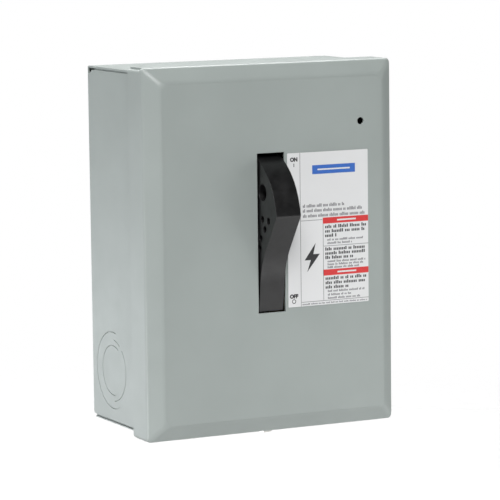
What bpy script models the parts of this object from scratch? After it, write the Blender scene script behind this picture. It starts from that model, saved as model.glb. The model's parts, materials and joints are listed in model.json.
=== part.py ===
"""Fusible AC disconnect box: a two-pole, front-operated safety switch in a sheet-steel enclosure.

Frame: the origin is on the enclosure's back face, midway across the cover. +X runs to the right,
+Z up, and -Y out of the wall. "Depth" is the distance in front of the wall, so depth = -y.
All sizes are in metres.
"""
import math

import bmesh
import bpy
from mathutils import Vector

GAP = 0.0003                 # space kept between pieces that would touch
PAST = 0.004                 # how far a cutter runs past the wall it cuts
SHEET = 0.0013               # enclosure steel
ROUND = 20                   # sides of a small turned piece

# Cover: a pan whose face is framed by a mitred bevel.
COVER_WIDTH = 0.154
COVER_HEIGHT = 0.206
COVER_SHEET = 0.0012
FACE_DEPTH = 0.083
RIM_DEPTH = 0.077
FLANGE_BACK = 0.0587
BEVEL_WIDTH = 0.0086
BEND = 0.0016                # length of the soft stretch at each bend
CORNER_CLIP = (0.0048, 0.0019)        # cut off the flanges' lower rear corners: depth, height
SLOT_X = (-0.0106, 0.0063)
SLOT_Z = (-0.0353, 0.0538)
LOCK_HOLE = (0.0546, 0.0689)          # x, z
LOCK_HOLE_RADIUS = 0.002
LABEL_X = (0.0079, 0.0589)
LABEL_Z = (-0.0333, 0.0529)
LABEL_GAP = 0.0001
LABEL_THICKNESS = 0.0002
HOOK_X = (-0.050, 0.050)
HOOK_WIDTH = 0.012
HOOK_DROP = 0.0040
HOOK_DEPTH = FLANGE_BACK + GAP
SCREW_DEPTH = 0.067
SCREW_NOTCH = 0.0032
COVER_SCREW_RADIUS = 0.0024

# Enclosure: it sits inside the cover's flanges.
BOX_HALF = COVER_WIDTH / 2 - COVER_SHEET - GAP
BOX_TOP = COVER_HEIGHT / 2 - 0.0022
BOX_BOTTOM = -COVER_HEIGHT / 2 + 0.0034
BOX_DEPTH = 0.073
WALL_HOLES = [(-0.062, 0.084), (0.062, 0.084), (-0.062, -0.084), (0.062, -0.084)]
WALL_HOLE_RADIUS = 0.0033

# Knockouts: three trade sizes on one centre.
KNOCKOUT_RADII = (0.0141, 0.01745, 0.0220)
KNOCKOUT_DEPTH = 0.029
KNOCKOUT_Z = -0.0692
KNOCKOUT_BOTTOM_X = 0.038
KNOCKOUT_SIDES = 28
GROOVE = 0.0005
GROOVE_FLOOR = 0.55          # share of the wall that a groove goes through

# Handle: a fin that turns on a pin behind the cover. Angles are from straight out, upwards.
HANDLE_X = (-0.0096, 0.0054)
PIVOT_DEPTH = 0.0648
PIVOT_Z = 0.0149
DRUM_RADIUS = 0.0395
SKIRT_THICKNESS = 0.0035
APEX_ANGLE = 8.0
SKIRT_START = 66.0
SKIRT_END = 107.0
PADLOCK_RADIUS = 0.0046
PADLOCK_AT = (0.0226, 0.0176)         # out and up from the pivot
SEAL_HOLE_RADIUS = 0.00195
SEAL_HOLES = [(0.0220, 0.0028), (0.0292, 0.0024), (0.0248, -0.0025),
              (0.0199, -0.0080), (0.0186, -0.0138)]
HANDLE_PIN_RADIUS = 0.0025
HUB_RADIUS = 0.0095
NOSE_RADIUS = 0.0022
SWEEP_RADIUS = 0.045
TAIL_THICKNESS = 0.0042

# Linkage: handle arm and crossbar arm are equal and parallel, so the link never turns.
ARM = 0.012
ARM_ANGLE = 60.0                      # at rest, handle up
TRAVEL = 40.0                         # degrees from ON to OFF
LINK_X = (-0.0124, -0.0106)
LINK_END = 0.0042
LINK_PIN_RADIUS = 0.002
SPRING_X = -0.0205
SPRING_ANCHOR_ARM = 0.024
SPRING_WIRE = 0.0005
SPRING_RADIUS = 0.0028
SPRING_TURNS = 11
EYE_CLEARANCE = 0.0008       # the spring's length changes by 0.5 mm as it passes the centre
DRIVE_PIN_X = (-0.0227, -0.0031)
BAR_PIN_X = (-0.0172, -0.0058)

# Mechanism frame.
FRAME_X = (-0.0147, 0.0105)
FRAME_SHEET = 0.0015
FRAME_MIDDLE = sum(FRAME_X) / 2
FRAME_SCREW_Z = (0.039, -0.006)
FRAME_SCREW_RADIUS = 0.0017
FRAME_BOSS = 0.008

# Switch base and the two poles.
BASE_X = (-0.0521, 0.0479)
BASE_Z = (-0.083, 0.078)
BASE_DEPTH = (0.0045, 0.021)
BASE_WALL = 0.003
BASE_SCREWS = [(FRAME_MIDDLE, 0.070), (FRAME_MIDDLE, -0.075)]
BASE_BOSS = 0.0055
RIB_X = [(-0.0235, -0.0215), (0.0173, 0.0193)]
UPPER_RIB = (0.043, 0.050)            # depth of its front edge, z of its lower end
LOWER_RIB = (0.036, -0.004)           # depth of its front edge, z of its upper end
POLE_X = (-0.0341, 0.0299)
HINGE_DEPTH = 0.030
HINGE_Z = 0.010
BLADE_LENGTH = 0.034
BLADE_WIDTH = 0.009
BLADE_THICKNESS = 0.0016
RIVET_RADIUS = 0.0020
RIVET_HEAD = 0.0034
CROSSBAR_HALF = (0.0070, 0.0055)      # out, along the blade
CROSSBAR_LUG = 0.0105                 # how far the lug stands out from the hinge's depth
STRAP = 0.0015
STRAP_WIDTH = 0.011
LEAF = 0.0012
STRAP_BACK = BASE_DEPTH[1] + GAP
STRAP_FRONT = STRAP_BACK + STRAP

# Cartridge fuse, 250 V class.
FUSE_LENGTH = 0.0508
FUSE_RADIUS = 0.00715
FERRULE = 0.0127
FUSE_TOP = -0.0065
CLIP_HEIGHT = 0.010
CLIP_SHEET = 0.0009
FUSE_DEPTH = STRAP_FRONT + CLIP_SHEET + GAP + FUSE_RADIUS - 0.0003

# Box lugs.
LUG = (0.0125, 0.0135, 0.013)         # across, out, along
LUG_HOLE = (0.008, 0.0068)
LINE_LUG_Z = (0.059, 0.072)
LOAD_LUG_Z = (-0.080, -0.067)
SCREW_RADIUS = 0.0026

# Neutral and ground bars.
BAR = (0.009, 0.010, 0.040)           # across, out, along
BAR_PITCH = 0.0135
BAR_HOLE = 0.0054
BAR_SCREW_RADIUS = 0.0021
NEUTRAL_X = -0.0635
NEUTRAL_SUPPORT = (0.014, 0.014, 0.052)
GROUND_X = 0.0615
BAR_Z = -0.030

COLOURS = {
    "grey_paint": ((0.36, 0.40, 0.385), 0.45, 0.0),
    "label_white": ((0.85, 0.86, 0.86), 0.35, 0.0),
    "black_plastic": ((0.03, 0.03, 0.032), 0.5, 0.0),
    "base_plastic": ((0.10, 0.055, 0.035), 0.55, 0.0),
    "zinc_steel": ((0.66, 0.65, 0.60), 0.35, 1.0),
    "copper": ((0.80, 0.42, 0.25), 0.30, 1.0),
    "aluminium": ((0.75, 0.76, 0.77), 0.35, 1.0),
    "fuse_tube": ((0.55, 0.33, 0.16), 0.7, 0.0),
    "green_steel": ((0.05, 0.30, 0.10), 0.4, 0.6),
    "insulator": ((0.80, 0.78, 0.70), 0.6, 0.0),
}


# Tools -------------------------------------------------------------------------------------

def clear_scene():
    for item in list(bpy.data.objects):
        bpy.data.objects.remove(item, do_unlink=True)


def material(name):
    found = bpy.data.materials.get(name)
    if found:
        return found
    made = bpy.data.materials.new(name)
    made.use_nodes = True
    colour, roughness, metallic = COLOURS[name]
    shader = made.node_tree.nodes["Principled BSDF"]
    shader.inputs["Base Color"].default_value = (*colour, 1.0)
    shader.inputs["Roughness"].default_value = roughness
    shader.inputs["Metallic"].default_value = metallic
    return made


def at(x, depth, z):
    """A point given by its distance in front of the wall."""
    return Vector((x, -depth, z))


def add_object(name, shape, finish):
    bmesh.ops.recalc_face_normals(shape, faces=shape.faces)
    mesh = bpy.data.meshes.new(name)
    shape.to_mesh(mesh)
    shape.free()
    item = bpy.data.objects.new(name, mesh)
    bpy.context.scene.collection.objects.link(item)
    mesh.materials.append(material(finish))
    return item


def prism(name, outline, low, high, axis, finish):
    """An outline pushed along an axis: x takes (depth, z), depth takes (x, z), z takes (x, depth)."""
    place = {
        "x": lambda a, b, along: at(along, a, b),
        "depth": lambda a, b, along: at(a, along, b),
        "z": lambda a, b, along: at(a, b, along),
    }[axis]
    shape = bmesh.new()
    bottom = [shape.verts.new(place(a, b, low)) for a, b in outline]
    top = [shape.verts.new(place(a, b, high)) for a, b in outline]
    shape.faces.new(bottom)
    shape.faces.new(top)
    for i in range(len(outline)):
        j = (i + 1) % len(outline)
        shape.faces.new((bottom[i], bottom[j], top[j], top[i]))
    return add_object(name, shape, finish)


def block(name, x, depth, z, finish):
    outline = [(x[0], z[0]), (x[1], z[0]), (x[1], z[1]), (x[0], z[1])]
    return prism(name, outline, depth[0], depth[1], "depth", finish)


def circle(centre, radius, sides=ROUND, start=0.0, end=360.0):
    """Points on a circle or an arc, as (first, second) pairs."""
    full = abs(end - start) >= 360.0
    steps = sides if full else sides - 1
    turns = [math.radians(start + (end - start) * i / steps) for i in range(sides)]
    return [(centre[0] + radius * math.cos(t), centre[1] + radius * math.sin(t)) for t in turns]


def rod(name, centre, radius, low, high, axis, finish, sides=ROUND):
    return prism(name, circle(centre, radius, sides), low, high, axis, finish)


def combine(target, tool, operation):
    """Apply one Boolean and remove its tool."""
    modifier = target.modifiers.new(operation, "BOOLEAN")
    modifier.operation = operation
    modifier.object = tool
    bpy.context.view_layer.update()
    graph = bpy.context.evaluated_depsgraph_get()
    result = bpy.data.meshes.new_from_object(target.evaluated_get(graph))
    target.modifiers.clear()
    target.data = result
    bpy.data.objects.remove(tool, do_unlink=True)
    return target


def cut(target, *tools):
    for tool in tools:
        combine(target, tool, "DIFFERENCE")
    return target


def fuse(target, *tools):
    for tool in tools:
        combine(target, tool, "UNION")
    return target


def shade(item, angle=35.0):
    item.data.shade_smooth()
    item.data.set_sharp_from_angle(angle=math.radians(angle))
    return item


def set_origin(item, x, depth, z):
    """Move the object's origin to a point and leave its shape where it is."""
    origin = at(x, depth, z)
    for vertex in item.data.vertices:
        vertex.co -= origin
    item.location = origin
    return item


def headed_pin(name, centre, radius, low, high, axis, head, head_thickness, finish):
    """A pin with a flat head at its high end."""
    pin = rod(name, centre, radius, low, high, axis, finish)
    return shade(fuse(pin, rod("head", centre, head, high - 0.0002, high + head_thickness, axis, finish)))


def slotted_screw(name, x, z, radius, tip, seat, head, finish):
    """A cheese-head screw that points at the wall, with a driver slot."""
    screw = rod(name, (x, z), radius, tip, seat + 0.0004, "depth", finish, 16)
    fuse(screw, rod("head", (x, z), head, seat, seat + 0.0024, "depth", finish, 16))
    slot = block("slot", (x - head * 2, x + head * 2), (seat + 0.0014, seat + 0.004),
                 (z - 0.0005, z + 0.0005), finish)
    return shade(cut(screw, slot))


# Places worked out from the driving sizes -------------------------------------------------

def polar(centre, radius, degrees):
    angle = math.radians(degrees)
    return centre[0] + radius * math.cos(angle), centre[1] + radius * math.sin(angle)


PIVOT = (PIVOT_DEPTH, PIVOT_Z)
HINGE = (HINGE_DEPTH, HINGE_Z)
DRIVE_PIN = polar(PIVOT, ARM, ARM_ANGLE)
BAR_PIN = polar(HINGE, ARM, ARM_ANGLE)
ANCHOR = polar(PIVOT, SPRING_ANCHOR_ARM, ARM_ANGLE - TRAVEL / 2 + 180.0)


# Enclosure --------------------------------------------------------------------------------

def enclosure():
    shell = block("enclosure", (-BOX_HALF, BOX_HALF), (0.0, BOX_DEPTH), (BOX_BOTTOM, BOX_TOP), "grey_paint")
    inside = block("inside", (-BOX_HALF + SHEET, BOX_HALF - SHEET), (SHEET, BOX_DEPTH + PAST),
                   (BOX_BOTTOM + SHEET, BOX_TOP - SHEET), "grey_paint")
    cut(shell, inside)
    for x, z in WALL_HOLES:
        cut(shell, rod("wall_hole", (x, z), WALL_HOLE_RADIUS, -PAST, PAST, "depth", "grey_paint", 16))
    for side in (-1, 1):
        low, high = sorted((side * (BOX_HALF - PAST), side * (BOX_HALF + PAST)))
        centre = (KNOCKOUT_DEPTH, KNOCKOUT_Z)
        cut(shell, rod("hole", centre, KNOCKOUT_RADII[2], low, high, "x", "grey_paint", KNOCKOUT_SIDES))
        centre = (side * KNOCKOUT_BOTTOM_X, KNOCKOUT_DEPTH)
        cut(shell, rod("hole", centre, KNOCKOUT_RADII[2], BOX_BOTTOM - PAST, BOX_BOTTOM + PAST, "z",
                       "grey_paint", KNOCKOUT_SIDES))
    for x in HOOK_X:
        half = HOOK_WIDTH / 2 + 0.001
        cut(shell, block("hook_slot", (x - half, x + half), (HOOK_DEPTH - 0.001, HOOK_DEPTH + 0.005),
                         (BOX_TOP - PAST, BOX_TOP + PAST), "grey_paint"))
    notch = (SCREW_DEPTH - SCREW_NOTCH, BOX_DEPTH + PAST)
    cut(shell, block("screw_notch", (-SCREW_NOTCH, SCREW_NOTCH), notch, (BOX_BOTTOM - PAST, BOX_BOTTOM + PAST),
                     "grey_paint"))
    return shell


def knockout(name, centre, outer_face, axis, outward):
    """A slug with a ring groove at each smaller trade size, flush with the wall's outer face."""
    inner_face = outer_face - outward * SHEET
    low, high = sorted((outer_face, inner_face))
    radius = KNOCKOUT_RADII[2] - GAP
    slug = rod(name, centre, radius, low, high, axis, "grey_paint", KNOCKOUT_SIDES)
    floor = outer_face - outward * SHEET * GROOVE_FLOOR
    proud = outer_face + outward * PAST
    low, high = sorted((floor, proud))
    for radius in KNOCKOUT_RADII[:2]:
        ring = rod("ring", centre, radius + GROOVE / 2, low, high, axis, "grey_paint", KNOCKOUT_SIDES)
        core = rod("core", centre, radius - GROOVE / 2, low - 0.001, high + 0.001, axis, "grey_paint",
                   KNOCKOUT_SIDES)
        cut(slug, cut(ring, core))
    return slug


def knockouts():
    side = (KNOCKOUT_DEPTH, KNOCKOUT_Z)
    knockout("knockout_left", side, -BOX_HALF, "x", -1)
    knockout("knockout_right", side, BOX_HALF, "x", 1)
    knockout("knockout_bottom_left", (-KNOCKOUT_BOTTOM_X, KNOCKOUT_DEPTH), BOX_BOTTOM, "z", -1)
    knockout("knockout_bottom_right", (KNOCKOUT_BOTTOM_X, KNOCKOUT_DEPTH), BOX_BOTTOM, "z", -1)


# Cover ------------------------------------------------------------------------------------

def pan(name, sections, finish):
    """Rectangles joined in order, with a face on the first and the last: (inset, depth) each."""
    shape = bmesh.new()
    loops = []
    for inset, depth in sections:
        x, z = COVER_WIDTH / 2 - inset, COVER_HEIGHT / 2 - inset
        corners = [(-x, -z), (x, -z), (x, z), (-x, z)]
        loops.append([shape.verts.new(at(a, depth, b)) for a, b in corners])
    shape.faces.new(loops[0])
    shape.faces.new(loops[-1])
    for near, far in zip(loops, loops[1:]):
        for i in range(4):
            j = (i + 1) % 4
            shape.faces.new((near[i], near[j], far[j], far[i]))
    return add_object(name, shape, finish)


def cover():
    slope = (FACE_DEPTH - RIM_DEPTH) / BEVEL_WIDTH
    outer = [
        (BEVEL_WIDTH + BEND / 2, FACE_DEPTH),
        (BEVEL_WIDTH - BEND, FACE_DEPTH - BEND * slope * 0.75),
        (BEND * 0.75, RIM_DEPTH + BEND * slope * 0.4),
        (0.0, RIM_DEPTH - BEND),
        (0.0, FLANGE_BACK),
    ]
    inner = [
        (COVER_SHEET, FLANGE_BACK),
        (COVER_SHEET, RIM_DEPTH - BEND - COVER_SHEET / 2),
        (BEVEL_WIDTH + BEND / 2 + COVER_SHEET / 3, FACE_DEPTH - COVER_SHEET),
    ]
    shell = pan("cover", outer + inner, "grey_paint")
    front = (FACE_DEPTH - PAST, FACE_DEPTH + PAST)
    cut(shell, block("handle_slot", SLOT_X, front, SLOT_Z, "grey_paint"))
    cut(shell, rod("lock_hole", LOCK_HOLE, LOCK_HOLE_RADIUS, *front, "depth", "grey_paint", 16))
    bottom = -COVER_HEIGHT / 2
    cut(shell, rod("screw_hole", (0.0, SCREW_DEPTH), COVER_SCREW_RADIUS + 0.0004, bottom - PAST,
                   bottom + PAST, "z", "grey_paint", 16))
    for side in (-1, 1):
        edge = side * COVER_WIDTH / 2
        outline = [(FLANGE_BACK - 0.001, bottom - 0.001), (FLANGE_BACK + CORNER_CLIP[0], bottom - 0.001),
                   (FLANGE_BACK - 0.001, bottom + CORNER_CLIP[1])]
        low, high = sorted((edge - side * PAST, edge + side * PAST))
        cut(shell, prism("corner_clip", outline, low, high, "x", "grey_paint"))
    for x in HOOK_X:
        top = COVER_HEIGHT / 2 - COVER_SHEET
        across = (x - HOOK_WIDTH / 2, x + HOOK_WIDTH / 2)
        fuse(shell, block("hook", across, (HOOK_DEPTH, HOOK_DEPTH + COVER_SHEET),
                          (top - HOOK_DROP, top + COVER_SHEET / 2), "grey_paint"))
    return set_origin(shell, 0.0, FLANGE_BACK, COVER_HEIGHT / 2 - COVER_SHEET - 0.0005)


def label():
    back = FACE_DEPTH + LABEL_GAP
    return block("label", LABEL_X, (back, back + LABEL_THICKNESS), LABEL_Z, "label_white")


def cover_screw():
    """The screw hangs from the bottom flange and carries its captive nut above the box's lip."""
    bottom = -COVER_HEIGHT / 2
    centre = (0.0, SCREW_DEPTH)
    tip = BOX_BOTTOM + SHEET + 0.0062
    head = bottom - 0.0018
    screw = rod("cover_screw", centre, COVER_SCREW_RADIUS, bottom - 0.0004, tip, "z", "zinc_steel", 16)
    fuse(screw, rod("head", centre, COVER_SCREW_RADIUS * 2, head, bottom - GAP, "z", "zinc_steel", 6))
    slot = block("slot", (-0.006, 0.006), (SCREW_DEPTH - 0.0006, SCREW_DEPTH + 0.0006),
                 (head - PAST, head + 0.0008), "zinc_steel")
    shade(cut(screw, slot))
    set_origin(screw, 0.0, SCREW_DEPTH, bottom)
    lift = BOX_BOTTOM + SHEET + GAP * 2
    nut = rod("cover_screw_nut", centre, 0.0050, lift, lift + 0.0032, "z", "zinc_steel", 4)
    shade(cut(nut, rod("bore", centre, COVER_SCREW_RADIUS + GAP, lift - PAST, lift + 2 * PAST, "z",
                       "zinc_steel", 16)))


# Handle -----------------------------------------------------------------------------------

def blended_corner(before, corner, after, radius, steps):
    """An arc that rounds a corner between two straight stretches."""
    corner = Vector(corner)
    first = (Vector(before) - corner).normalized()
    second = (Vector(after) - corner).normalized()
    half = first.angle(second) / 2
    centre = corner + (first + second).normalized() * radius / math.sin(half)
    start = corner + first * radius / math.tan(half) - centre
    end = corner + second * radius / math.tan(half) - centre
    points = []
    for i in range(steps + 1):
        points.append(tuple(centre + start.lerp(end, i / steps).normalized() * radius))
    return points


def handle_outline():
    """Side view as (depth, z): drum arc on top, ridge, swept lower face, tail and hub."""
    ridge = polar(PIVOT, DRUM_RADIUS + 0.0004, APEX_ANGLE)
    bend = (FACE_DEPTH + 0.0021, -0.0072)
    tail = (FACE_DEPTH - 0.0015, -0.0346)
    drum = circle(PIVOT, DRUM_RADIUS, 15, SKIRT_END, APEX_ANGLE + 3.0)
    nose = blended_corner(drum[-1], ridge, bend, NOSE_RADIUS, 3)
    sweep = blended_corner(ridge, bend, tail, SWEEP_RADIUS, 6)
    tail_back = (tail[0] - TAIL_THICKNESS, tail[1] + 0.0004)
    hub = circle(PIVOT, HUB_RADIUS, 9, -48.0, -215.0)
    skirt = circle(PIVOT, DRUM_RADIUS - SKIRT_THICKNESS, 6, SKIRT_START, SKIRT_END)
    return drum[:-1] + nose + sweep + [tail, tail_back] + hub + skirt


def handle():
    fin = prism("handle", handle_outline(), HANDLE_X[0], HANDLE_X[1], "x", "black_plastic")
    through = (HANDLE_X[0] - PAST, HANDLE_X[1] + PAST)
    cut(fin, rod("pin_hole", PIVOT, HANDLE_PIN_RADIUS + GAP, *through, "x", "black_plastic"))
    cut(fin, rod("drive_hole", DRIVE_PIN, LINK_PIN_RADIUS + GAP, through[0], HANDLE_X[0] + 0.007, "x",
                 "black_plastic"))
    centre = (PIVOT_DEPTH + PADLOCK_AT[0], PIVOT_Z + PADLOCK_AT[1])
    cut(fin, rod("padlock_hole", centre, PADLOCK_RADIUS, *through, "x", "black_plastic", 24))
    for out, up in SEAL_HOLES:
        centre = (PIVOT_DEPTH + out, PIVOT_Z + up)
        cut(fin, rod("seal_hole", centre, SEAL_HOLE_RADIUS, *through, "x", "black_plastic", 10))
    shade(fin, 25.0)
    return set_origin(fin, 0.0, PIVOT_DEPTH, PIVOT_Z)


# Mechanism --------------------------------------------------------------------------------

def mechanism_frame():
    """A U bracket: two arched cheeks with a boss for the handle's pin, on a screwed foot."""
    foot = STRAP_BACK
    boss = circle(PIVOT, FRAME_BOSS, 9, -60.0, 120.0)
    cheek = [(foot, -0.0135), (0.047, -0.0135)] + boss + [(0.046, 0.040), (foot, 0.046)]
    frame = prism("mechanism_frame", cheek, FRAME_X[0], FRAME_X[1], "x", "zinc_steel")
    cut(frame, block("channel", (FRAME_X[0] + FRAME_SHEET, FRAME_X[1] - FRAME_SHEET),
                     (foot + FRAME_SHEET, PIVOT_DEPTH + 2 * FRAME_BOSS), (-0.05, 0.08), "zinc_steel"))
    arch = [(0.0, 0.0035), (0.0485, 0.0035), (0.0495, 0.026), (0.044, 0.034), (0.0, 0.034)]
    through = (FRAME_X[0] - PAST, FRAME_X[1] + PAST)
    cut(frame, prism("arch", arch, *through, "x", "zinc_steel"))
    cut(frame, rod("pin_hole", PIVOT, HANDLE_PIN_RADIUS + GAP, *through, "x", "zinc_steel"))
    cut(frame, rod("anchor_hole", ANCHOR, LINK_PIN_RADIUS + GAP, through[0], 0.0, "x", "zinc_steel"))
    for z in FRAME_SCREW_Z:
        cut(frame, rod("foot_hole", (FRAME_MIDDLE, z), FRAME_SCREW_RADIUS + 0.0005, 0.0, HINGE_DEPTH,
                       "depth", "zinc_steel", 16))
    return shade(frame)


def pins():
    headed_pin("handle_pin", PIVOT, HANDLE_PIN_RADIUS, FRAME_X[0] - 0.001, FRAME_X[1] + GAP, "x", 0.0038,
               0.001, "zinc_steel")
    headed_pin("spring_anchor", ANCHOR, LINK_PIN_RADIUS, SPRING_X - 0.0015, FRAME_X[0] + FRAME_SHEET + GAP,
               "x", 0.0032, 0.0008, "zinc_steel")
    drive = rod("drive_pin", DRIVE_PIN, LINK_PIN_RADIUS, *DRIVE_PIN_X, "x", "zinc_steel")
    set_origin(shade(drive), 0.0, PIVOT_DEPTH, PIVOT_Z)
    bar = rod("crossbar_pin", BAR_PIN, LINK_PIN_RADIUS, *BAR_PIN_X, "x", "zinc_steel")
    set_origin(shade(bar), 0.0, HINGE_DEPTH, HINGE_Z)


def drive_link():
    """A flat bar with an eye at each pin, hollowed where the handle's pin sweeps across it."""
    along = Vector(DRIVE_PIN) - Vector(BAR_PIN)
    slope = math.degrees(math.atan2(along.y, along.x))
    front = circle(DRIVE_PIN, LINK_END, 9, slope - 90.0, slope + 90.0)
    back = circle(BAR_PIN, LINK_END, 9, slope + 90.0, slope + 270.0)
    link = prism("drive_link", front + back, LINK_X[0], LINK_X[1], "x", "zinc_steel")
    through = (LINK_X[0] - PAST, LINK_X[1] + PAST)
    for centre in (DRIVE_PIN, BAR_PIN):
        cut(link, rod("eye", centre, LINK_PIN_RADIUS + GAP, *through, "x", "zinc_steel"))
    room = HANDLE_PIN_RADIUS + 0.0006
    last = ARM_ANGLE - TRAVEL + 180.0
    sweep = (circle(DRIVE_PIN, ARM + room, 8, last + TRAVEL, last)
             + circle(DRIVE_PIN, ARM - room, 8, last, last + TRAVEL))
    cut(link, prism("sweep", sweep, *through, "x", "zinc_steel"))
    cut(link, rod("sweep_end", polar(DRIVE_PIN, ARM, last), room, *through, "x", "zinc_steel"))
    return set_origin(shade(link), 0.0, *DRIVE_PIN)


def spring_path():
    """The wire's centre line from eye to eye, in the plane of the handle's swing."""
    start, end = Vector(ANCHOR), Vector(DRIVE_PIN)
    axis = (end - start).normalized()
    side = Vector((-axis.y, axis.x))
    eye = LINK_PIN_RADIUS + SPRING_WIRE + EYE_CLEARANCE
    length = (end - start).length
    run = length - 2 * eye
    points = []

    def add(along, across, x):
        spot = start + axis * along + side * across
        points.append(at(SPRING_X + x, spot.x, spot.y))

    for i in range(10):
        angle = math.radians(70.0 + 290.0 * i / 9)
        add(eye * math.cos(angle), eye * math.sin(angle), 0.0)
    per_turn = 8
    inset = 0.0022
    for i in range(SPRING_TURNS * per_turn + 1):
        share = i / (SPRING_TURNS * per_turn)
        angle = 2 * math.pi * i / per_turn
        add(eye + inset + (run - 2 * inset) * share, SPRING_RADIUS * math.cos(angle),
            SPRING_RADIUS * math.sin(angle))
    for i in range(10):
        angle = math.radians(180.0 - 290.0 * i / 9)
        add(length + eye * math.cos(angle), eye * math.sin(angle), 0.0)
    return points


def toggle_spring():
    curve = bpy.data.curves.new("toggle_spring", "CURVE")
    curve.dimensions = "3D"
    curve.bevel_depth = SPRING_WIRE
    curve.bevel_resolution = 0
    curve.use_fill_caps = True
    points = spring_path()
    wire = curve.splines.new("POLY")
    wire.points.add(len(points) - 1)
    for spot, point in zip(wire.points, points):
        spot.co = (*point, 1.0)
    item = bpy.data.objects.new("spring_curve", curve)
    bpy.context.scene.collection.objects.link(item)
    bpy.context.view_layer.update()
    graph = bpy.context.evaluated_depsgraph_get()
    mesh = bpy.data.meshes.new_from_object(item.evaluated_get(graph))
    bpy.data.objects.remove(item, do_unlink=True)
    spring = bpy.data.objects.new("toggle_spring", mesh)
    bpy.context.scene.collection.objects.link(spring)
    mesh.materials.clear()
    mesh.materials.append(material("zinc_steel"))
    return set_origin(spring, SPRING_X, *ANCHOR)


def crossbar():
    """An insulating bar with a slot for each blade and a lug that takes the link."""
    middle = HINGE_Z + ARM
    out, half = CROSSBAR_HALF
    reach = 0.007
    bar = block("crossbar", (POLE_X[0] - reach, POLE_X[1] + reach), (HINGE_DEPTH - out, HINGE_DEPTH + out),
                (middle - half, middle + half), "black_plastic")
    lug_x = (LINK_X[0] - 0.0052, LINK_X[1] + 0.0052)
    front = HINGE_DEPTH + CROSSBAR_LUG
    lug = prism("lug", [(HINGE_DEPTH, middle - half), (front, middle - half), (front, middle + 0.003),
                        (front - 0.0025, middle + half), (HINGE_DEPTH, middle + half)], *lug_x, "x",
                "black_plastic")
    fuse(bar, lug)
    cut(bar, block("link_slot", (LINK_X[0] - 0.0008, LINK_X[1] + 0.0008),
                   (BAR_PIN[0] - LINK_END - 0.0008, front + PAST), (0.0, 2 * middle), "black_plastic"))
    cut(bar, rod("pin_hole", BAR_PIN, LINK_PIN_RADIUS + GAP, lug_x[0] - PAST, lug_x[1] + PAST, "x",
                 "black_plastic"))
    for x in POLE_X:
        half_blade = BLADE_THICKNESS / 2 + GAP
        cut(bar, block("blade_slot", (x - half_blade, x + half_blade),
                       (HINGE_DEPTH - BLADE_WIDTH / 2 - GAP, HINGE_DEPTH + BLADE_WIDTH / 2 + GAP),
                       (0.0, 2 * middle), "black_plastic"))
    return set_origin(shade(bar), 0.0, HINGE_DEPTH, HINGE_Z)


def blade(name, x):
    """A copper knife, round at its hinge and chamfered at its tip."""
    half = BLADE_WIDTH / 2
    tip = HINGE_Z + BLADE_LENGTH
    foot = circle(HINGE, half, 9, 180.0, 360.0)
    outline = foot + [(HINGE_DEPTH + half, tip - 0.002), (HINGE_DEPTH + half - 0.002, tip),
                      (HINGE_DEPTH - half + 0.003, tip), (HINGE_DEPTH - half, tip - 0.003)]
    low, high = x - BLADE_THICKNESS / 2, x + BLADE_THICKNESS / 2
    knife = prism(name, outline, low, high, "x", "copper")
    cut(knife, rod("hinge_hole", HINGE, RIVET_RADIUS + GAP, low - PAST, high + PAST, "x", "copper"))
    return set_origin(shade(knife), 0.0, HINGE_DEPTH, HINGE_Z)


# Poles ------------------------------------------------------------------------------------

def leaves(target, x, depth, z, finish):
    """Two spring leaves that stand beside a blade."""
    inner = BLADE_THICKNESS / 2 + GAP
    for side in (-1, 1):
        low, high = sorted((x + side * inner, x + side * (inner + LEAF)))
        fuse(target, block("leaf", (low, high), depth, z, finish))
    return target


def strap(name, x, z):
    return block(name, (x - STRAP_WIDTH / 2, x + STRAP_WIDTH / 2), (STRAP_BACK, STRAP_FRONT), z, "copper")


def fuse_clip(target, x, top):
    """A C-shaped spring clip round a ferrule, open to the front."""
    outer = FUSE_RADIUS + GAP + CLIP_SHEET
    arc = circle((x, FUSE_DEPTH), outer, 13, 35.0, -215.0)
    inner = circle((x, FUSE_DEPTH), outer - CLIP_SHEET, 13, -215.0, 35.0)
    return fuse(target, prism("clip", arc + inner, top - CLIP_HEIGHT, top, "z", "copper"))


def line_jaw(name, x):
    tip = HINGE_Z + BLADE_LENGTH
    jaw = strap(name, x, (tip - 0.011, LINE_LUG_Z[1]))
    return leaves(jaw, x, (STRAP_BACK + 0.0005, HINGE_DEPTH + 0.0060), (tip - 0.010, tip + 0.001), "copper")


def hinge_clip(name, x):
    clip = strap(name, x, (FUSE_TOP - 0.001 - CLIP_HEIGHT, HINGE_Z + 0.006))
    leaves(clip, x, (STRAP_BACK + 0.0005, HINGE_DEPTH + 0.0048), (HINGE_Z - 0.006, HINGE_Z + 0.004),
           "copper")
    fuse_clip(clip, x, FUSE_TOP - 0.0015)
    cut(clip, rod("rivet_hole", HINGE, RIVET_RADIUS + GAP, x - PAST, x + PAST, "x", "copper"))
    return clip


def load_clip(name, x):
    bottom = FUSE_TOP - FUSE_LENGTH
    clip = strap(name, x, (LOAD_LUG_Z[0], bottom + 0.0115))
    return fuse_clip(clip, x, bottom + 0.0115)


def lug(name, x, z):
    """A box lug: a block with a square wire hole along the pole and a screw bore from the front."""
    back = STRAP_FRONT + GAP
    body = block(name, (x - LUG[0] / 2, x + LUG[0] / 2), (back, back + LUG[1]), z, "aluminium")
    middle = back + 0.0022 + LUG_HOLE[1] / 2
    cut(body, block("wire_hole", (x - LUG_HOLE[0] / 2, x + LUG_HOLE[0] / 2),
                    (middle - LUG_HOLE[1] / 2, middle + LUG_HOLE[1] / 2), (z[0] - PAST, z[1] + PAST),
                    "aluminium"))
    centre = (x, (z[0] + z[1]) / 2)
    cut(body, rod("screw_bore", centre, SCREW_RADIUS + GAP, middle, back + LUG[1] + PAST, "depth",
                  "aluminium", 16))
    return shade(body)


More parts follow.
